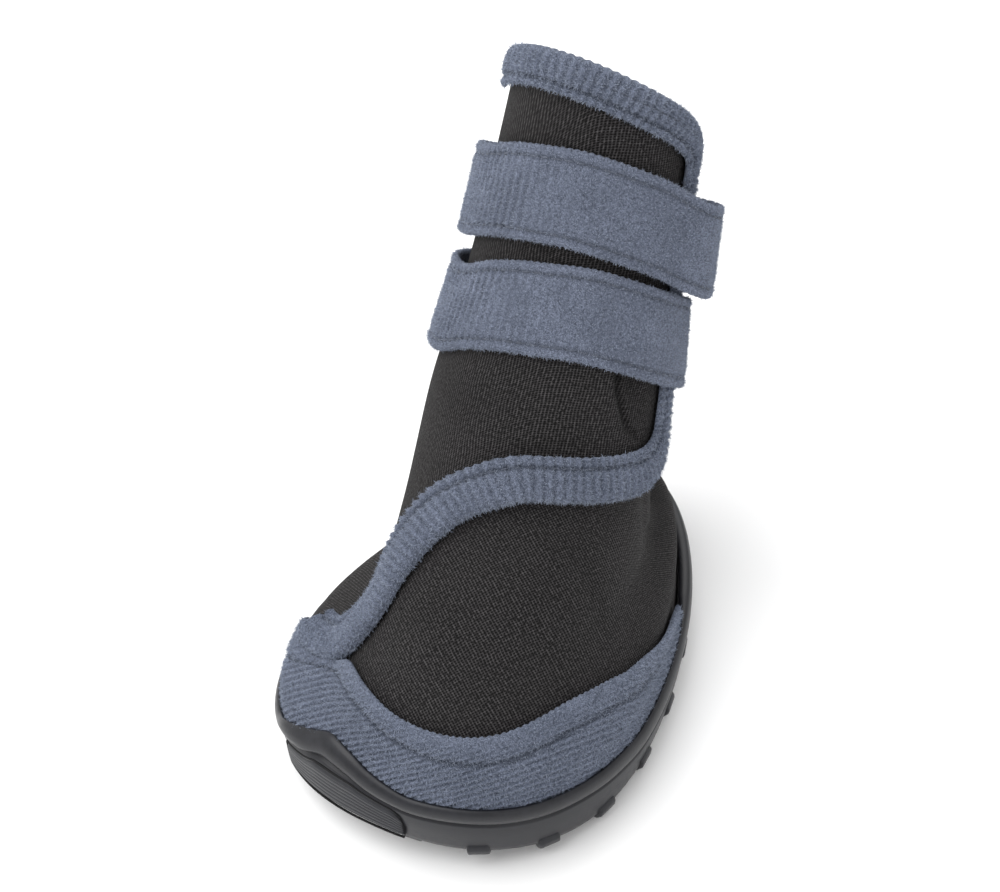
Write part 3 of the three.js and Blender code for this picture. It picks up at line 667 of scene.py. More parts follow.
def read_mesh(mesh):
    """Points, the point of each face corner, and the first corner and corner count of each face."""
    points, corners = np.empty(len(mesh.vertices) * 3), np.empty(len(mesh.loops), int)
    starts, counts = (np.empty(len(mesh.polygons), int) for _ in range(2))
    mesh.vertices.foreach_get("co", points)
    mesh.loops.foreach_get("vertex_index", corners)
    mesh.polygons.foreach_get("loop_start", starts)
    mesh.polygons.foreach_get("loop_total", counts)
    return points.reshape(-1, 3) / mm, corners, starts, counts


def peel(piece, ankle_point):
    points, corners, starts, counts = read_mesh(piece.data)
    flat_place, angle = peeled(points)
    first = corners[starts]
    over_toe = (angle[first] < panel_reach) & ((points[first] - ankle_point) @ shaft_axis < 0)
    chosen = np.repeat(over_toe, counts)
    old = np.empty(len(corners) * 2)
    layer = piece.data.uv_layers["cloth"].uv
    layer.foreach_get("vector", old)
    old = old.reshape(-1, 2)
    old[chosen] = flat_place[corners][chosen]
    layer.foreach_set("vector", old.ravel())
    print("the toe panel has", int(over_toe.sum()), "faces")


ankle_middle = np.array([0, 29.0, 62.0])
peel(sock, ankle_middle)

# %% [markdown]
# ## The front flap
#
# The flap wraps over the front. Its foot runs in an S from the side of the toe up over the instep,
# its free edge goes up on the right, and its head is the front half of the collar.

# %% Cut and lay the flap
flap_left, flap_right, flap_top, flap_lift, flap_wall = -72.0, 103.0, 0.99, 0.6, 1.7
flap_foot_line = [
    [-72, 0.17], [-62, 0.205], [-57, 0.245], [-54, 0.281], [-48, 0.343], [-40, 0.385],
    [-31, 0.418], [-16, 0.459], [1, 0.493], [25, 0.521], [42, 0.523]]


def flap_foot(turn):
    corner = np.maximum(0, (turn - 78) / (flap_right - 78))
    return read_pairs(flap_foot_line, turn) + 0.075 * (1 - np.sqrt(np.maximum(0, 1 - corner**2)))


def flap_head(turn):
    corner = np.maximum(0, (turn - 70) / (flap_right - 70))
    return flap_top - 0.035 * (1 - np.sqrt(np.maximum(0, 1 - corner**2)))


def flap_place(s, t):
    turn = flap_left + (flap_right - flap_left) * s
    foot = flap_foot(turn)
    return np.radians(turn), foot + (flap_head(turn) - foot) * t


flap_folds = [
    [[[57, 0.70], [58, 0.68], [60, 0.652], [69, 0.605], [77, 0.59]], 1.0, 0.8],
    [[[63, 0.70], [68, 0.66], [74, 0.62]], 0.7, 3.2],
    [[[48, 0.70], [50, 0.65], [56, 0.6]], -0.35, 2.4],
    [[[-40, 0.62], [-20, 0.6], [0, 0.61]], 0.3, 3.5],
    [[[-62, 0.3], [-52, 0.42], [-46, 0.52]], -0.4, 3.0],
    [[[10, 0.56], [28, 0.57], [46, 0.585]], 0.35, 2.6]]


def flap_relief(u, v, width, turn, climb):
    return folds(turn, climb, flap_folds)


flap = band("front_flap_cloth", flap_place, lambda s, t: np.full_like(s, flap_lift), flap_wall, 190,
            (130, 6, 24), black_jersey, "front_flap", flap_relief, deep=1.6)

# %% [markdown]
# ## Tape folded over an edge
#
# The edging is a soft tape with fine cross ribs, folded over the raw edge of the foam.
# It is carried along the edge as one closed section, and the ribs swell and pinch that section as it goes.

# %% Carry a section along a line on the shoe
def even_line(turns, climbs, pitch):
    """The same line on the skin in even steps."""
    run = lengths_along(skin(turns, climbs))
    steps = np.linspace(0, run[-1], int(run[-1] / pitch))
    return np.interp(steps, run, turns), np.interp(steps, run, climbs), steps


def round_off(profile, times=2):
    """Cuts the corners of a closed section, [distance, height]."""
    points = np.array(profile, float)
    for _ in range(times):
        after = np.roll(points, -1, axis=0)
        points = np.stack([0.75 * points + 0.25 * after, 0.25 * points + 0.75 * after], 1).reshape(-1, 2)
    return points


def tape(name, line, profile, material, node, rib, swell, stitch_place, width_at=None, upward=False):
    turns, climbs, run = line
    section_points = round_off(profile)
    centre = section_points.mean(0)
    e1, e2 = slopes(turns, climbs)
    ahead = unit(e1 * np.gradient(turns)[:, None] + e2 * np.gradient(climbs)[:, None])
    side = unit(e2) if upward else np.cross(unit(np.cross(e1, e2)), ahead)
    count, last = len(section_points), len(turns) - 1

    def rule(s, t):
        k = np.rint(s * last).astype(int)
        j = np.rint(t * count).astype(int) % count
        across, out = section_points[j].T
        wide = np.ones_like(s) if width_at is None else width_at(s)
        across = np.where(np.abs(across) > 2, across * wide, across)
        ribs = 0.5 + 0.5 * np.cos(2 * np.pi * run[k] / rib)
        outward = np.clip((out - centre[1]) / 1.2 + 0.3, 0, 1)
        out = out + swell * (ribs - 0.6) * outward
        across = across + 0.5 * swell * (ribs - 0.5) * np.sign(across - 3.5) * (np.abs(across - 3.5) > 3)
        turn, climb = walk(turns[k], climbs[k], side[k], across)
        seam_trough = np.exp(-(((section_points[j, 0] - stitch_place) / 0.5) ** 2)) * (outward > 0.5)
        # The rib troughs and the seam trough are marked here for painted shade in the tape's colour.
        hollow = np.clip(0.5 * (1 - ribs) ** 2 + seam_trough, 0, 1)
        return on_skin(turn, climb, out), np.stack([run[k], across], -1), hollow

    return finished(name, joined(laid(last, count, rule), capped=True), material, node)

# %% Edge the flap
fold_gap, binding_wall, flap_seam, collar_seam = 0.6, 1.2, 5.7, -5.9
tape_step, tape_rib = 0.36, 1.8
foot_turns = np.linspace(flap_left, flap_right, 500)
edge_turns = np.concatenate([foot_turns, np.full(120, flap_right), foot_turns[::-1]])
right_climbs = np.linspace(flap_foot(flap_right), flap_head(flap_right), 122)[1:-1]
edge_climbs = np.concatenate([flap_foot(foot_turns), right_climbs, flap_head(foot_turns[::-1])])


def eased(turns, climbs):
    """Rounds the line's corners, measured in even steps."""
    t, c, _ = even_line(turns, climbs, 0.4)
    for _ in range(25):
        t[1:-1] = (t[:-2] + 2 * t[1:-1] + t[2:]) / 4
        c[1:-1] = (c[:-2] + 2 * c[1:-1] + c[2:]) / 4
    return t, c


flap_edge = even_line(*eased(np.radians(edge_turns), edge_climbs), tape_step)
over = flap_lift + flap_wall + fold_gap
binding_profile = [
    [-1.3, fold_gap], [-1.5, 2.2], [-1.0, 3.7], [0.4, over + 1.35], [2.4, over + 1.6], [4.2, over + 1.55],
    [5.0, over + 1.35], [5.5, over + 0.85], [5.9, over + 0.8], [6.4, over + 1.25], [7.2, over + 1.35],
    [8.0, over + 1.0], [8.2, over + 0.5], [7.9, over], [4, over], [-0.3, over], [-0.3, 2.2], [-0.3, fold_gap]]


def narrowing(share):
    return read_pairs([[0, 1], [0.42, 1], [0.52, 0.76], [0.64, 0.6], [0.75, 0.68], [1, 0.8]], share)


flap_tape = tape("flap_edging", flap_edge, binding_profile, brushed_tape, "flap_binding", tape_rib, 0.6,
                 flap_seam, narrowing)

# %% Edge the back of the collar
collar_turns = np.radians(np.linspace(flap_right + 6, 360 + flap_left - 2, 400))
collar_line = even_line(collar_turns, np.full_like(collar_turns, sock_top), tape_step)
fold_out, fold_in = fold_gap + binding_wall, -cloth_wall - fold_gap
collar_profile = [
    [-8.1, fold_gap], [-8.3, fold_out - 0.3], [-7.4, fold_out], [-6.6, fold_out - 0.1],
    [-6.1, fold_gap + 0.6], [-5.7, fold_gap + 0.65], [-5.2, fold_out - 0.1], [-3, fold_out + 0.25],
    [0.2, fold_out], [1.4, 0.6], [1.6, -1.2], [1.3, -3.2], [0.2, fold_in - 1.3], [-3, fold_in - 1.3],
    [-6, fold_in - 1.1], [-6.1, fold_in], [-3, fold_in],
    [0.3, fold_in], [0.3, -1.2], [0.3, fold_gap], [-4, fold_gap]]
collar_tape = tape("collar_edging", collar_line, collar_profile, brushed_tape, "collar_binding", tape_rib,
                   0.5, collar_seam, upward=True)

# %% [markdown]
# ## The rand
#
# The rand is a wide piece of the same brushed tape round the toe, tucked behind the rubber rim.
# Its ribs are cut as if by slanting planes, and a line of stitches holds its upper edge.

# %% Lay the rand
rand_left, rand_right, rand_lift, rand_wall, rand_sink, rand_seam = -80.0, 116.0, 0.65, 1.4, 3.4, 4.2
rand_line = [
    [-80, 0.15], [-70, 0.165], [-60, 0.2], [-54, 0.25], [-48, 0.28], [-36, 0.294], [-20, 0.3], [0, 0.297],
    [30, 0.294], [60, 0.3], [80, 0.285], [95, 0.25], [108, 0.18], [116, 0.12]]


rim_rise = [
    [-76, 0], [-46, 0.05], [-31, 0.2], [-22, 0.47], [-10, 0.77], [0, 1], [8, 0.94], [17, 0.67],
    [26, 0.53], [38, 0.54], [74, 0.54], [92, 0.4], [109, 0.1], [134, 0]]


def from_hump(turn):
    """How far a turn is from the hump over the toe, in degrees."""
    aside = turn - math.radians(hump_turn)
    return np.degrees(np.arctan2(np.sin(aside), np.cos(aside)))


def rim_top(turn):
    return rim_height + toe_rise * read_pairs(rim_rise, from_hump(turn))


def wall_lean(turn, height):
    """How far the wall leans in at a height, which is as far as the sock does."""
    (x0, y0), (x1, y1) = outline(turn - 0.01), outline(turn + 0.01)
    along = unit(np.stack([x1 - x0, y1 - y0], -1))
    rest = skin(turn, 0.05)
    here = skin(turn, climb_at(turn, height + spring(outline(turn)[1])))
    back = rest - here
    return np.maximum(0, back[..., 0] * along[..., 1] - back[..., 1] * along[..., 0])


def on_wall(turn, height, offset):
    x, y = outline(turn, offset - wall_lean(turn, height))
    return np.stack([x, y, height + spring(outline(turn, offset)[1])], -1)


rim_turns = np.linspace(-np.pi, np.pi, 721)
rim_line = on_wall(rim_turns, rim_top(rim_turns), -1.0)


def rim_beside(points):
    """The height of the rim's top beside some points."""
    away = ((points[:, None, :2] - rim_line[None, :, :2]) ** 2).sum(-1)
    return rim_line[away.argmin(1), 2]


rand_grid = np.radians(np.linspace(rand_left, rand_right, 300))
rand_lows = climb_at(rand_grid, rim_top(rand_grid))
for _ in range(4):
    rand_lows = climb_at(rand_grid, rim_beside(skin(rand_grid, rand_lows)) - rand_sink)
for _ in range(12):
    rand_lows[1:-1] = (rand_lows[:-2] + 2 * rand_lows[1:-1] + rand_lows[2:]) / 4
flap_clear, flap_feet = 2.6, flap_foot(np.degrees(rand_grid))
under_flap = flap_feet - flap_clear / np.linalg.norm(slopes(rand_grid, flap_feet)[1], axis=-1)
drawn_highs = read_pairs(rand_line, np.degrees(rand_grid))
rand_highs = np.maximum(rand_lows + 0.012, np.minimum(drawn_highs, under_flap))
for _ in range(30):
    eased_highs = (rand_highs[:-2] + rand_highs[2:]) / 2 * 0.5 + rand_highs[1:-1] * 0.5
    rand_highs[1:-1] = np.minimum(rand_highs[1:-1], eased_highs)


def rand_place(s, t):
    turn = np.radians(rand_left + (rand_right - rand_left) * s)
    low = np.interp(turn, rand_grid, rand_lows)
    return turn, low + (np.interp(turn, rand_grid, rand_highs) - low) * t


rand_rib_pitch, rand_rib_way = 1.1, np.array([-0.55, 0.47, 0.68])


def slanted_ribs(u, v, width, turn, climb):
    ribs = 0.22 * np.cos(2 * np.pi * (skin(turn, climb) @ rand_rib_way) / rand_rib_pitch) - 0.13
    trough = -0.55 * np.exp(-(((width - v - rand_seam) / 0.5) ** 2))
    puffed = 0.35 * np.exp(-(((v - rand_sink) / 2.5) ** 2))
    return ribs * np.clip((width - v) / 3.5, 0.3, 1) + trough + puffed * (1 - np.clip(-ribs / 0.4, 0, 1))


rand = band("toe_rand_tape", rand_place, lambda s, t: np.full_like(s, rand_lift), rand_wall, 720, (84, 6, 8),
            brushed_tape, "toe_rand", slanted_ribs, 0.1, 1.6)

# %% [markdown]
# ## The straps
#
# Each strap is a band of loop tape that goes round the shaft. It stands off the cloth at the left,
# lies on the front, and bends sharply round the free edge of the flap at the right.

# %% Wrap the straps
strap_width, strap_wall, strap_left, strap_span, strap_seam = 20.0, 1.8, -150, 324, 2.3
strap_lines = {
    "upper": [[-150, 0.82], [-59, 0.83], [-15, 0.849], [24, 0.859], [60, 0.854], [105, 0.828], [160, 0.83]],
    "lower": [
        [-150, 0.68], [-50, 0.69], [-18, 0.715], [3, 0.727], [34, 0.735], [56, 0.73], [79, 0.718],
        [110, 0.7], [160, 0.68]]}
strap_heights = {
    "upper": [
        [-150, 0.5], [-125, 2.4], [-85, 5.6], [-60, 4], [-30, 2.8], [40, 2.8], [70, 4.8], [100, 8.5],
        [112, 8.5], [135, 3], [160, 0.5], [174, 0.5]],
    "lower": [
        [-150, 0.5], [-125, 2.4], [-85, 5], [-60, 3.6], [-30, 2.8], [45, 2.8], [70, 4.3], [104, 4.3],
        [135, 2], [160, 0.5], [174, 0.5]]}


def strap_rules(which):
    def degree(s):
        return strap_left + strap_span * s

    def place(s, t):
        turn, middle = np.radians(degree(s)), read_pairs(strap_lines[which], degree(s))
        pace = np.linalg.norm(skin(turn, middle + 0.002) - skin(turn, middle - 0.002), axis=-1) / 0.004
        return turn, middle + (t - 0.5) * strap_width / pace

    return place, lambda s, t: read_pairs(strap_heights[which], degree(s))


def cross_ribs(u, v, width, turn, climb):
    clear = 0.15 + 0.85 * np.exp(-(((np.degrees(turn) + 38) / 34) ** 2))
    uneven = 0.75 + 0.25 * np.sin(u / 2.3 + 2 * np.sin(v / 4))
    ribs = (0.22 * np.cos(2 * np.pi * u / 1.65 + 0.6 * np.sin(u / 5)) - 0.13) * clear * uneven
    ribs = ribs * np.clip(np.minimum(v, width - v) / 2.5, 0.3, 1)
    troughs = sum(-0.4 * np.exp(-(((v - at) / 0.45) ** 2)) for at in (strap_seam, width - strap_seam))
    return ribs + troughs - 0.05


straps = {}
for which in ("upper", "lower"):
    place, height = strap_rules(which)
    straps[which] = band(which + "_loop_strap", place, height, strap_wall, 520, (40, 6, 10),
                         loop_tape, "strap_" + which, cross_ribs, 0.12)

# %% [markdown]
# ## The rubber cup
#
# The sole is moulded in one piece: a tread with claw lugs, a wall, a fine groove
# and a rolled rim that rises at the toe.
# Its section is turned round the foot's outline as on a lathe, but along the outline in place of a circle.

# %% Turn the cup
def cup_section(top, floor=tread_depth):
    """[offset from the outline, height] from the middle of the underside to the middle of the foot bed."""
    return [
        [-2.2, floor], [-1.0, floor + 0.25], [-0.4, floor + 0.9], [-0.1, floor + 2.2],
        [0.1, (floor + top - 4) / 2],
        [0.35, top - 5.8], [0.25, top - 5.35], [-0.55, top - 4.95], [-0.55, top - 4.7], [0.35, top - 4.35],
        [0.8, top - 3.6], [1.0, top - 2.6], [0.95, top - 1.6], [0.65, top - 0.7], [0.2, top - 0.1],
        [-0.25, top + 0.05], [-0.6, top - 0.2], [-0.65, top - 0.8], [-0.3, top - 2.2], [-0.1, top - 4.2],
        [0.5 - rim_wall, top - 4.3], [0.4 - rim_wall, top - 4.8], [0.2 - rim_wall, top - 5.5],
        [-rim_wall, 0.4 * top + 0.6 * bed_height], [-rim_wall, bed_height]]


around_steps, shares_in = 360, [0.0, 0.3, 0.6, 0.85]
lip_rows, lip_reach = range(15, 20), 1.6
cup_rows = len(cup_section(rim_height)) + 2 * len(shares_in)


def bare_share(turn):
    """1 where the rim meets the bare sock, behind the rand's two ends, and 0 along the rand."""
    degree = (np.degrees(turn) + 180 - 18) % 360 - 180
    return np.clip((np.abs(degree) - 94) / 10, 0, 1)


def cup_rule(s, t):
    turn = 2 * np.pi * s
    j = np.rint(t * (cup_rows - 1)).astype(int)
    points = np.zeros((len(s), 3))
    top = rim_top(turn)
    for row in range(cup_rows):
        here = j == row
        if row < len(shares_in) or row >= cup_rows - len(shares_in):
            under = row < len(shares_in)
            share = shares_in[row] if under else shares_in[cup_rows - 1 - row]
            x, y = outline(turn[here], -rim_wall)
            x, y = x * share, y * share
            height = np.full_like(x, tread_depth if under else bed_height)
        else:
            k = row - len(shares_in)
            low, high = (np.array(cup_section(value)[k]) for value in (0.0, 1.0))
            offset, height = low[0], low[1] + (high[1] - low[1]) * top[here]
            if k in lip_rows:
                offset = offset - lip_reach * bare_share(turn[here])
            points[here] = on_wall(turn[here], height, offset)
            continue
        points[here] = np.stack([x, y, height + spring(y)], -1)
    return points, np.stack([turn * 45, t * 60], -1)


cup = joined(laid(around_steps, cup_rows - 1, cup_rule), 0.004)
print("cup has", len(cup.faces), "faces")

# %% [markdown]
# The lugs are small blocks with softened edges, round the rim and in rows under the foot.

# %% Add the lugs
def lug_mesh(outline_points, width, soften=0.5):
    """A side view, [outward, height], drawn out to a width, with soft edges."""
    block = bmesh.new()
    side = [block.verts.new((x, -width / 2, z)) for x, z in outline_points]
    face = block.faces.new(side)
    drawn = bmesh.ops.extrude_face_region(block, geom=[face])["geom"]
    far = [item for item in drawn if isinstance(item, bmesh.types.BMVert)]
    bmesh.ops.translate(block, vec=(0, width, 0), verts=far)
    bmesh.ops.recalc_face_normals(block, faces=block.faces)
    bmesh.ops.bevel(
        block, geom=block.edges[:], offset=soften, segments=2, profile=0.5, affect="EDGES", material=-1)
    mesh = bpy.data.meshes.new("lug")
    block.to_mesh(mesh)
    block.free()
    return mesh


def set_down(sheet, mesh, matrix):
    before = len(sheet.verts)
    sheet.from_mesh(mesh)
    sheet.verts.ensure_lookup_table()
    bmesh.ops.transform(sheet, matrix=matrix, verts=sheet.verts[before:])


lug_count, lug_pitch, arch_middle, arch_length, arch_rise = 20, 14.0, 14.0, 17.0, 1.2
bumper_reach, bumper_top, bumper_end, bumper_below, bumper_ribs = 22.0, 15.4, 8.6, 6.2, 8
turns = np.linspace(0, 2 * np.pi, 1441)
ox, oy = outline(turns)
run = lengths_along(np.stack([ox, oy], -1))
claw = lug_mesh([[-8, 0], [-1.5, 0], [0.2, 2.0], [0.5, 3.8], [-0.2, 5.1], [-1.6, 5.1], [-8, 3.4]], 4.8)
stub = lug_mesh([[-8, 0], [-1.7, 0], [-1.2, 1.8], [-1.4, 3.6], [-8, 3.4]], 4.8)
block = lug_mesh([[-4.2, 0], [4.2, 0], [4.5, 4], [-4.5, 4]], 6.6)
lugs = bmesh.new()


def arch(y):
    return arch_rise if abs(y - arch_middle) < arch_length / 2 else 0.0


for n in range(lug_count):
    turn = np.interp((n + 0.5) / lug_count * run[-1], run, turns)
    (x0, x1), (y0, y1) = outline(np.array([turn - 0.01, turn + 0.01]))
    x, y = (float(v) for v in outline(np.array(turn)))
    angle = math.atan2(-(x1 - x0), y1 - y0)
    near_bumper = abs(from_hump(turn)) < bumper_reach + 6
    place = Vector((x, y, float(spring(np.array(y))) + arch(y)))
    set_down(lugs, stub if near_bumper else claw, Matrix.Translation(place) @ Matrix.Rotation(angle, 4, "Z"))
for row in range(5):
    y = (row - 2) * lug_pitch
    for x in ((-9, 9) if row % 2 else (-17, 0, 17)):
        set_down(lugs, block, Matrix.Translation((x, y, float(spring(np.array(y))) + arch(y))))
bmesh.ops.scale(lugs, vec=(mm, mm, mm), verts=lugs.verts)
lug_mesh_data = bpy.data.meshes.new("lugs")
lugs.to_mesh(lug_mesh_data)
lugs.free()
cup.from_mesh(lug_mesh_data)
sole = finished("rubber_cup", cup, moulded_rubber, "sole")

# %% [markdown]
# ## The toe insert
#
# The toe carries a lens-shaped insert with fine level ribs, which stands a little proud of the wall.

# %% Shape the toe insert
def bumper_edge(turn, reach):
    """The height of the insert's upper edge, a lens that stays below the groove."""
    share = np.minimum(1, np.abs(np.degrees(turn) - hump_turn) / reach)
    lens = bumper_end + (bumper_top - bumper_end) * np.sqrt(np.maximum(0, 1 - share**2.4))
    return np.minimum(lens, rim_top(turn) - bumper_below)


def bumper_rule(s, t):
    half = math.radians(bumper_reach)
    turn = math.radians(hump_turn) + np.sin((s - 0.5) * np.pi) * half
    low = np.full_like(s, tread_depth + 1.2 + gap)
    high = bumper_edge(turn, bumper_reach) - gap
    height = low + (high - low) * t
    rim = np.minimum(1, 9 * np.minimum(t, 1 - t)) * np.minimum(1, 9 * np.minimum(s, 1 - s))
    ribs = 0.22 * np.abs(np.sin(np.pi * t * bumper_ribs)) ** 0.6 * np.clip(6 * np.minimum(s, 1 - s), 0, 1)
    offset = 0.55 * np.sqrt(rim) + ribs - 0.4 * (1 - rim)
    return on_wall(turn, height, offset), np.stack([turn * 45, height], -1)


insert = laid(90, 126, bumper_rule)
bmesh.ops.recalc_face_normals(insert, faces=insert.faces)
toe_insert = finished("toe_insert", insert, insert_rubber, "toe_bumper")
thick = toe_insert.modifiers.new("wall", "SOLIDIFY")
thick.thickness, thick.offset = 1.0 * mm, -1

# %% Lay a near-black cord as painted shade in the groove round the insert
line_thick, line_sink = 0.34, 0.28


def parting_rule(s, t):
    """A thin cord round the lens, half sunk in the wall, coloured near-black as painted shade of the groove
    round the insert.
    """
    around = 2 * np.pi * s
    half = math.radians(bumper_reach + 0.35)
    turn = math.radians(hump_turn) + half * np.sign(np.cos(around)) * np.abs(np.cos(around)) ** 0.8
    high = bumper_edge(turn, bumper_reach + 0.35) + 0.2
    low = tread_depth + 1.1
    middle = (high + low) / 2
    upright = np.minimum(1, 4 * np.abs(np.sin(around)))
    height = np.where(np.sin(around) > 0, high, low) * upright + middle * (1 - upright)
    angle = 2 * np.pi * t
    place = on_wall(turn, height + line_thick * np.sin(angle), line_sink + line_thick * np.cos(angle))
    return place, np.stack([s, t], -1)


parting = joined(laid(220, 6, parting_rule))
groove_shade_cord = finished("insert_groove_shade_cord", parting, groove_shade)

# %% [markdown]
# ## The foot bed
#
# Inside, the paw stands on a soft knit-covered bed that closes the sock below.

# %% Pad the foot bed
bed_lift, bed_thick = 0.45, 3.0


def bed_rule(s, t):
    """Out along the underside, up the edge and back in over the top."""
    x, y = outline(2 * np.pi * s, -(inset + cloth_wall + 2 * gap))
    spread = np.minimum(1, np.minimum(t, 1 - t) / 0.3)
    height = bed_height + bed_lift + bed_thick * np.clip((t - 0.3) / 0.4, 0, 1)
    return np.stack([x * spread, y * spread, height + spring(y * spread)], -1), np.stack([x, y], -1)


bed = joined(laid(96, 30, bed_rule), 0.01)
foot_bed = finished("foot_bed", bed, black_jersey, "insole")

# %% [markdown]
# ## Stitches
#
# The tape is sewn down along its inner edge, the rand along its upper edge and the straps along both.
# A stitch is a short thread that dips into the pile at both ends,
# so one small capsule is set down again and again.

# %% Sew the rows of stitches
stitch_pitch, stitch_length, thread_thick = 2.6, 2.0, 0.5


def stitch_mesh():
    sheet = bmesh.new()
    bmesh.ops.create_uvsphere(sheet, u_segments=6, v_segments=5, radius=0.5)
    bmesh.ops.scale(sheet, vec=(thread_thick, thread_thick, stitch_length), verts=sheet.verts)
    mesh = bpy.data.meshes.new("stitch")
    sheet.to_mesh(mesh)
    sheet.free()
    return mesh


def sew(sheet, stitch, points):
    run = lengths_along(points)
    for at in np.arange(stitch_pitch, run[-1] - stitch_pitch, stitch_pitch):
        start, end = (
            Vector([float(np.interp(at + half * stitch_length, run, points[:, k])) for k in range(3)])
            for half in (-0.5, 0.5))
        turned = (end - start).to_track_quat("Z", "X").to_matrix().to_4x4()
        set_down(sheet, stitch, Matrix.Translation((start + end) / 2) @ turned)


def along_band(place, height, thick, width, from_edge, shares):
    """Points on a band, a distance from its lower edge, or below zero from its upper edge."""
    across = (from_edge if from_edge > 0 else width + from_edge) / width
    turn, climb = place(shares, across)
    return on_skin(turn, climb, height(shares, across) + thick)


def along_tape(line, across, out, upward=False):
    turns, climbs, _ = line
    e1, e2 = slopes(turns, climbs)
    ahead = unit(e1 * np.gradient(turns)[:, None] + e2 * np.gradient(climbs)[:, None])
    side = unit(e2) if upward else np.cross(unit(np.cross(e1, e2)), ahead)
    return on_skin(*walk(turns, climbs, side, across), out)


stitch = stitch_mesh()
rows = bmesh.new()
shares = np.linspace(0.01, 0.99, 900)
for which in ("upper", "lower"):
    place, height = strap_rules(which)
    for from_edge in (strap_seam, -strap_seam):
        sew(rows, stitch, along_band(place, height, strap_wall - 0.42, strap_width, from_edge, shares))
rand_turn = np.radians(rand_left + (rand_right - rand_left) * shares)
rand_high = np.interp(rand_turn, rand_grid, rand_highs)
downward = -unit(slopes(rand_turn, rand_high)[1])
sewn_turn, sewn_climb = walk(rand_turn, rand_high, downward, np.full_like(rand_turn, rand_seam))
sew(rows, stitch, on_skin(sewn_turn, sewn_climb, rand_lift + rand_wall - 0.5)[60:-60])
sew(rows, stitch, along_tape(flap_edge, flap_seam, over + 0.75))
sew(rows, stitch, along_tape(collar_line, collar_seam, fold_gap + 0.6, True))
bmesh.ops.scale(rows, vec=(mm, mm, mm), verts=rows.verts)
stitches = finished("stitching", rows, shaded_thread)

# %% [markdown]
# ## Loose hairs
#
# Brushing pulls hairs out of the tape, and they blur its outline. A hair is two tiny faces ending in a point.
# One hair is doubled until there are enough, then each is planted on the tape by area, with a fixed seed.

# %% Plant the hairs
hair_wide = 0.075


def one_hair():
    sheet = bmesh.new()
    bmesh.ops.create_grid(sheet, x_segments=1, y_segments=2, size=0.5)
    tips = [vert for vert in sheet.verts if vert.co.y > 0.25]
    bmesh.ops.pointmerge(sheet, verts=tips, merge_co=(0, 0.5, 0))
    return sheet


def core(points):
    """The middle of the shoe beside some points."""
    y = np.interp(points[:, 2], [0, 20, 65, 127], [-12, -5, 29, 64])
    return np.stack([np.zeros_like(y), y, points[:, 2]], -1)


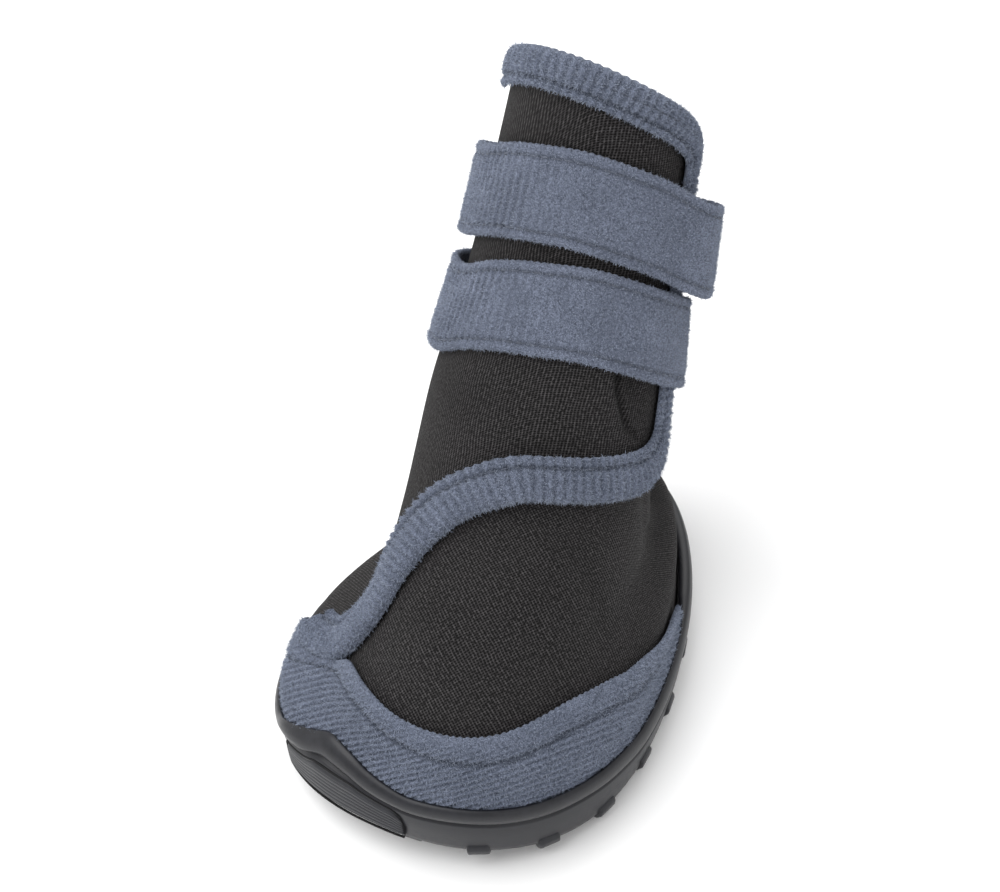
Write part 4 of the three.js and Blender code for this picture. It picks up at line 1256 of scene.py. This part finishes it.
def hairs_on(name, piece, per_square_mm, length, seed):
    mesh = piece.data
    mesh.calc_loop_triangles()
    corners, points = np.empty(len(mesh.loop_triangles) * 3, int), np.empty(len(mesh.vertices) * 3)
    mesh.loop_triangles.foreach_get("vertices", corners)
    mesh.vertices.foreach_get("co", points)
    a, b, c = (points.reshape(-1, 3) / mm)[corners.reshape(-1, 3)].transpose(1, 0, 2)
    across = np.cross(b - a, c - a)
    area = np.linalg.norm(across, axis=1) / 2
    normal = across / np.maximum(2 * area, 1e-9)[:, None]
    outside = (normal * (a - core(a))).sum(1) > -1.0
    weight = np.where(outside, area, 0)
    count = int(weight.sum() * per_square_mm)
    chance = np.random.default_rng(seed)
    pick = chance.choice(len(area), count, p=weight / weight.sum())
    p, q = chance.random((2, count, 1))
    p, q = np.where(p + q > 1, 1 - p, p), np.where(p + q > 1, 1 - q, q)
    root = a[pick] + (b - a)[pick] * p + (c - a)[pick] * q - 0.05 * normal[pick]
    toward = unit(0.75 * normal[pick] + 0.62 * chance.normal(size=(count, 3)))
    toward = np.where(((toward * normal[pick]).sum(1) < 0.1)[:, None], normal[pick], toward)
    side = unit(np.cross(toward, chance.normal(size=(count, 3)))) * hair_wide / 2
    bend = unit(chance.normal(size=(count, 3))) * 0.3
    reach = chance.uniform(*length, (count, 1))
    middle, tip = root + toward * reach * 0.55, root + unit(toward + bend) * reach
    sheet = one_hair()
    kinds = [(round(vert.co.x + 0.5), round(2 * vert.co.y)) for vert in sheet.verts]
    while len(sheet.faces) // 2 < count:
        wanted = min(count - len(sheet.faces) // 2, len(sheet.faces) // 2)
        some = sheet.verts[:5 * wanted] + sheet.faces[:2 * wanted]
        bmesh.ops.duplicate(sheet, geom=some)
    hairs = finished(name, sheet, loose_hair)
    places = np.empty((count, 5, 3))
    for k, (right, level) in enumerate(kinds):
        if level == 1:
            places[:, k] = tip
        else:
            places[:, k] = (root, middle)[level + 1] + side * (1 if right else -1)
    hairs.data.vertices.foreach_set("co", (places * mm).ravel())
    hairs.data.update()
    return hairs


hairs_on("rand_hairs", rand, 8, (0.35, 0.95), 1)
hairs_on("flap_edging_hairs", flap_tape, 9, (0.35, 1.0), 2)
hairs_on("collar_edging_hairs", collar_tape, 9, (0.35, 1.0), 3)
hairs_on("upper_strap_hairs", straps["upper"], 7, (0.3, 0.85), 4)
hairs_on("lower_strap_hairs", straps["lower"], 7, (0.3, 0.85), 5)

# %% [markdown]
# ## Floor and light
#
# The photograph is a shoe on white with broad, soft light from above and the front.

# %% Set the stage
floor_sheet = bmesh.new()
bmesh.ops.create_grid(floor_sheet, x_segments=1, y_segments=1, size=3.0)
floor_mesh = bpy.data.meshes.new("floor")
floor_sheet.to_mesh(floor_mesh)
floor_sheet.free()
floor = bpy.data.objects.new("floor", floor_mesh)
bpy.context.collection.objects.link(floor)
floor_paint = bpy.data.materials.new("pale_floor")
floor_paint.use_nodes = True
floor_paint.node_tree.nodes["Principled BSDF"].inputs["Base Color"].default_value = (0.97, 0.97, 0.97, 1)
floor_paint.node_tree.nodes["Principled BSDF"].inputs["Roughness"].default_value = 0.9
floor_mesh.materials.append(floor_paint)

world = bpy.data.worlds.new("studio")
world.use_nodes = True
world.node_tree.nodes["Background"].inputs["Color"].default_value = (1, 1, 1, 1)
world.node_tree.nodes["Background"].inputs["Strength"].default_value = 0.88
bpy.context.scene.world = world


def soft_box(name, place, size, power):
    light = bpy.data.lights.new(name, "AREA")
    light.shape, light.size, light.energy = "DISK", size, power
    lamp = bpy.data.objects.new(name, light)
    place = Vector(place)
    lamp.matrix_world = (place - aim).to_track_quat("Z", "Y").to_matrix().to_4x4()
    lamp.location = place
    bpy.context.collection.objects.link(lamp)


soft_box("key", (-0.4, -0.3, 1.0), 1.2, 10)
soft_box("fill", (0.9, -0.5, 0.45), 0.6, 0.6)
soft_box("back", (-0.2, 0.9, 0.7), 0.8, 3)
bpy.context.scene.view_settings.view_transform = "Standard"

# %% Update the scene
bpy.context.view_layer.update()
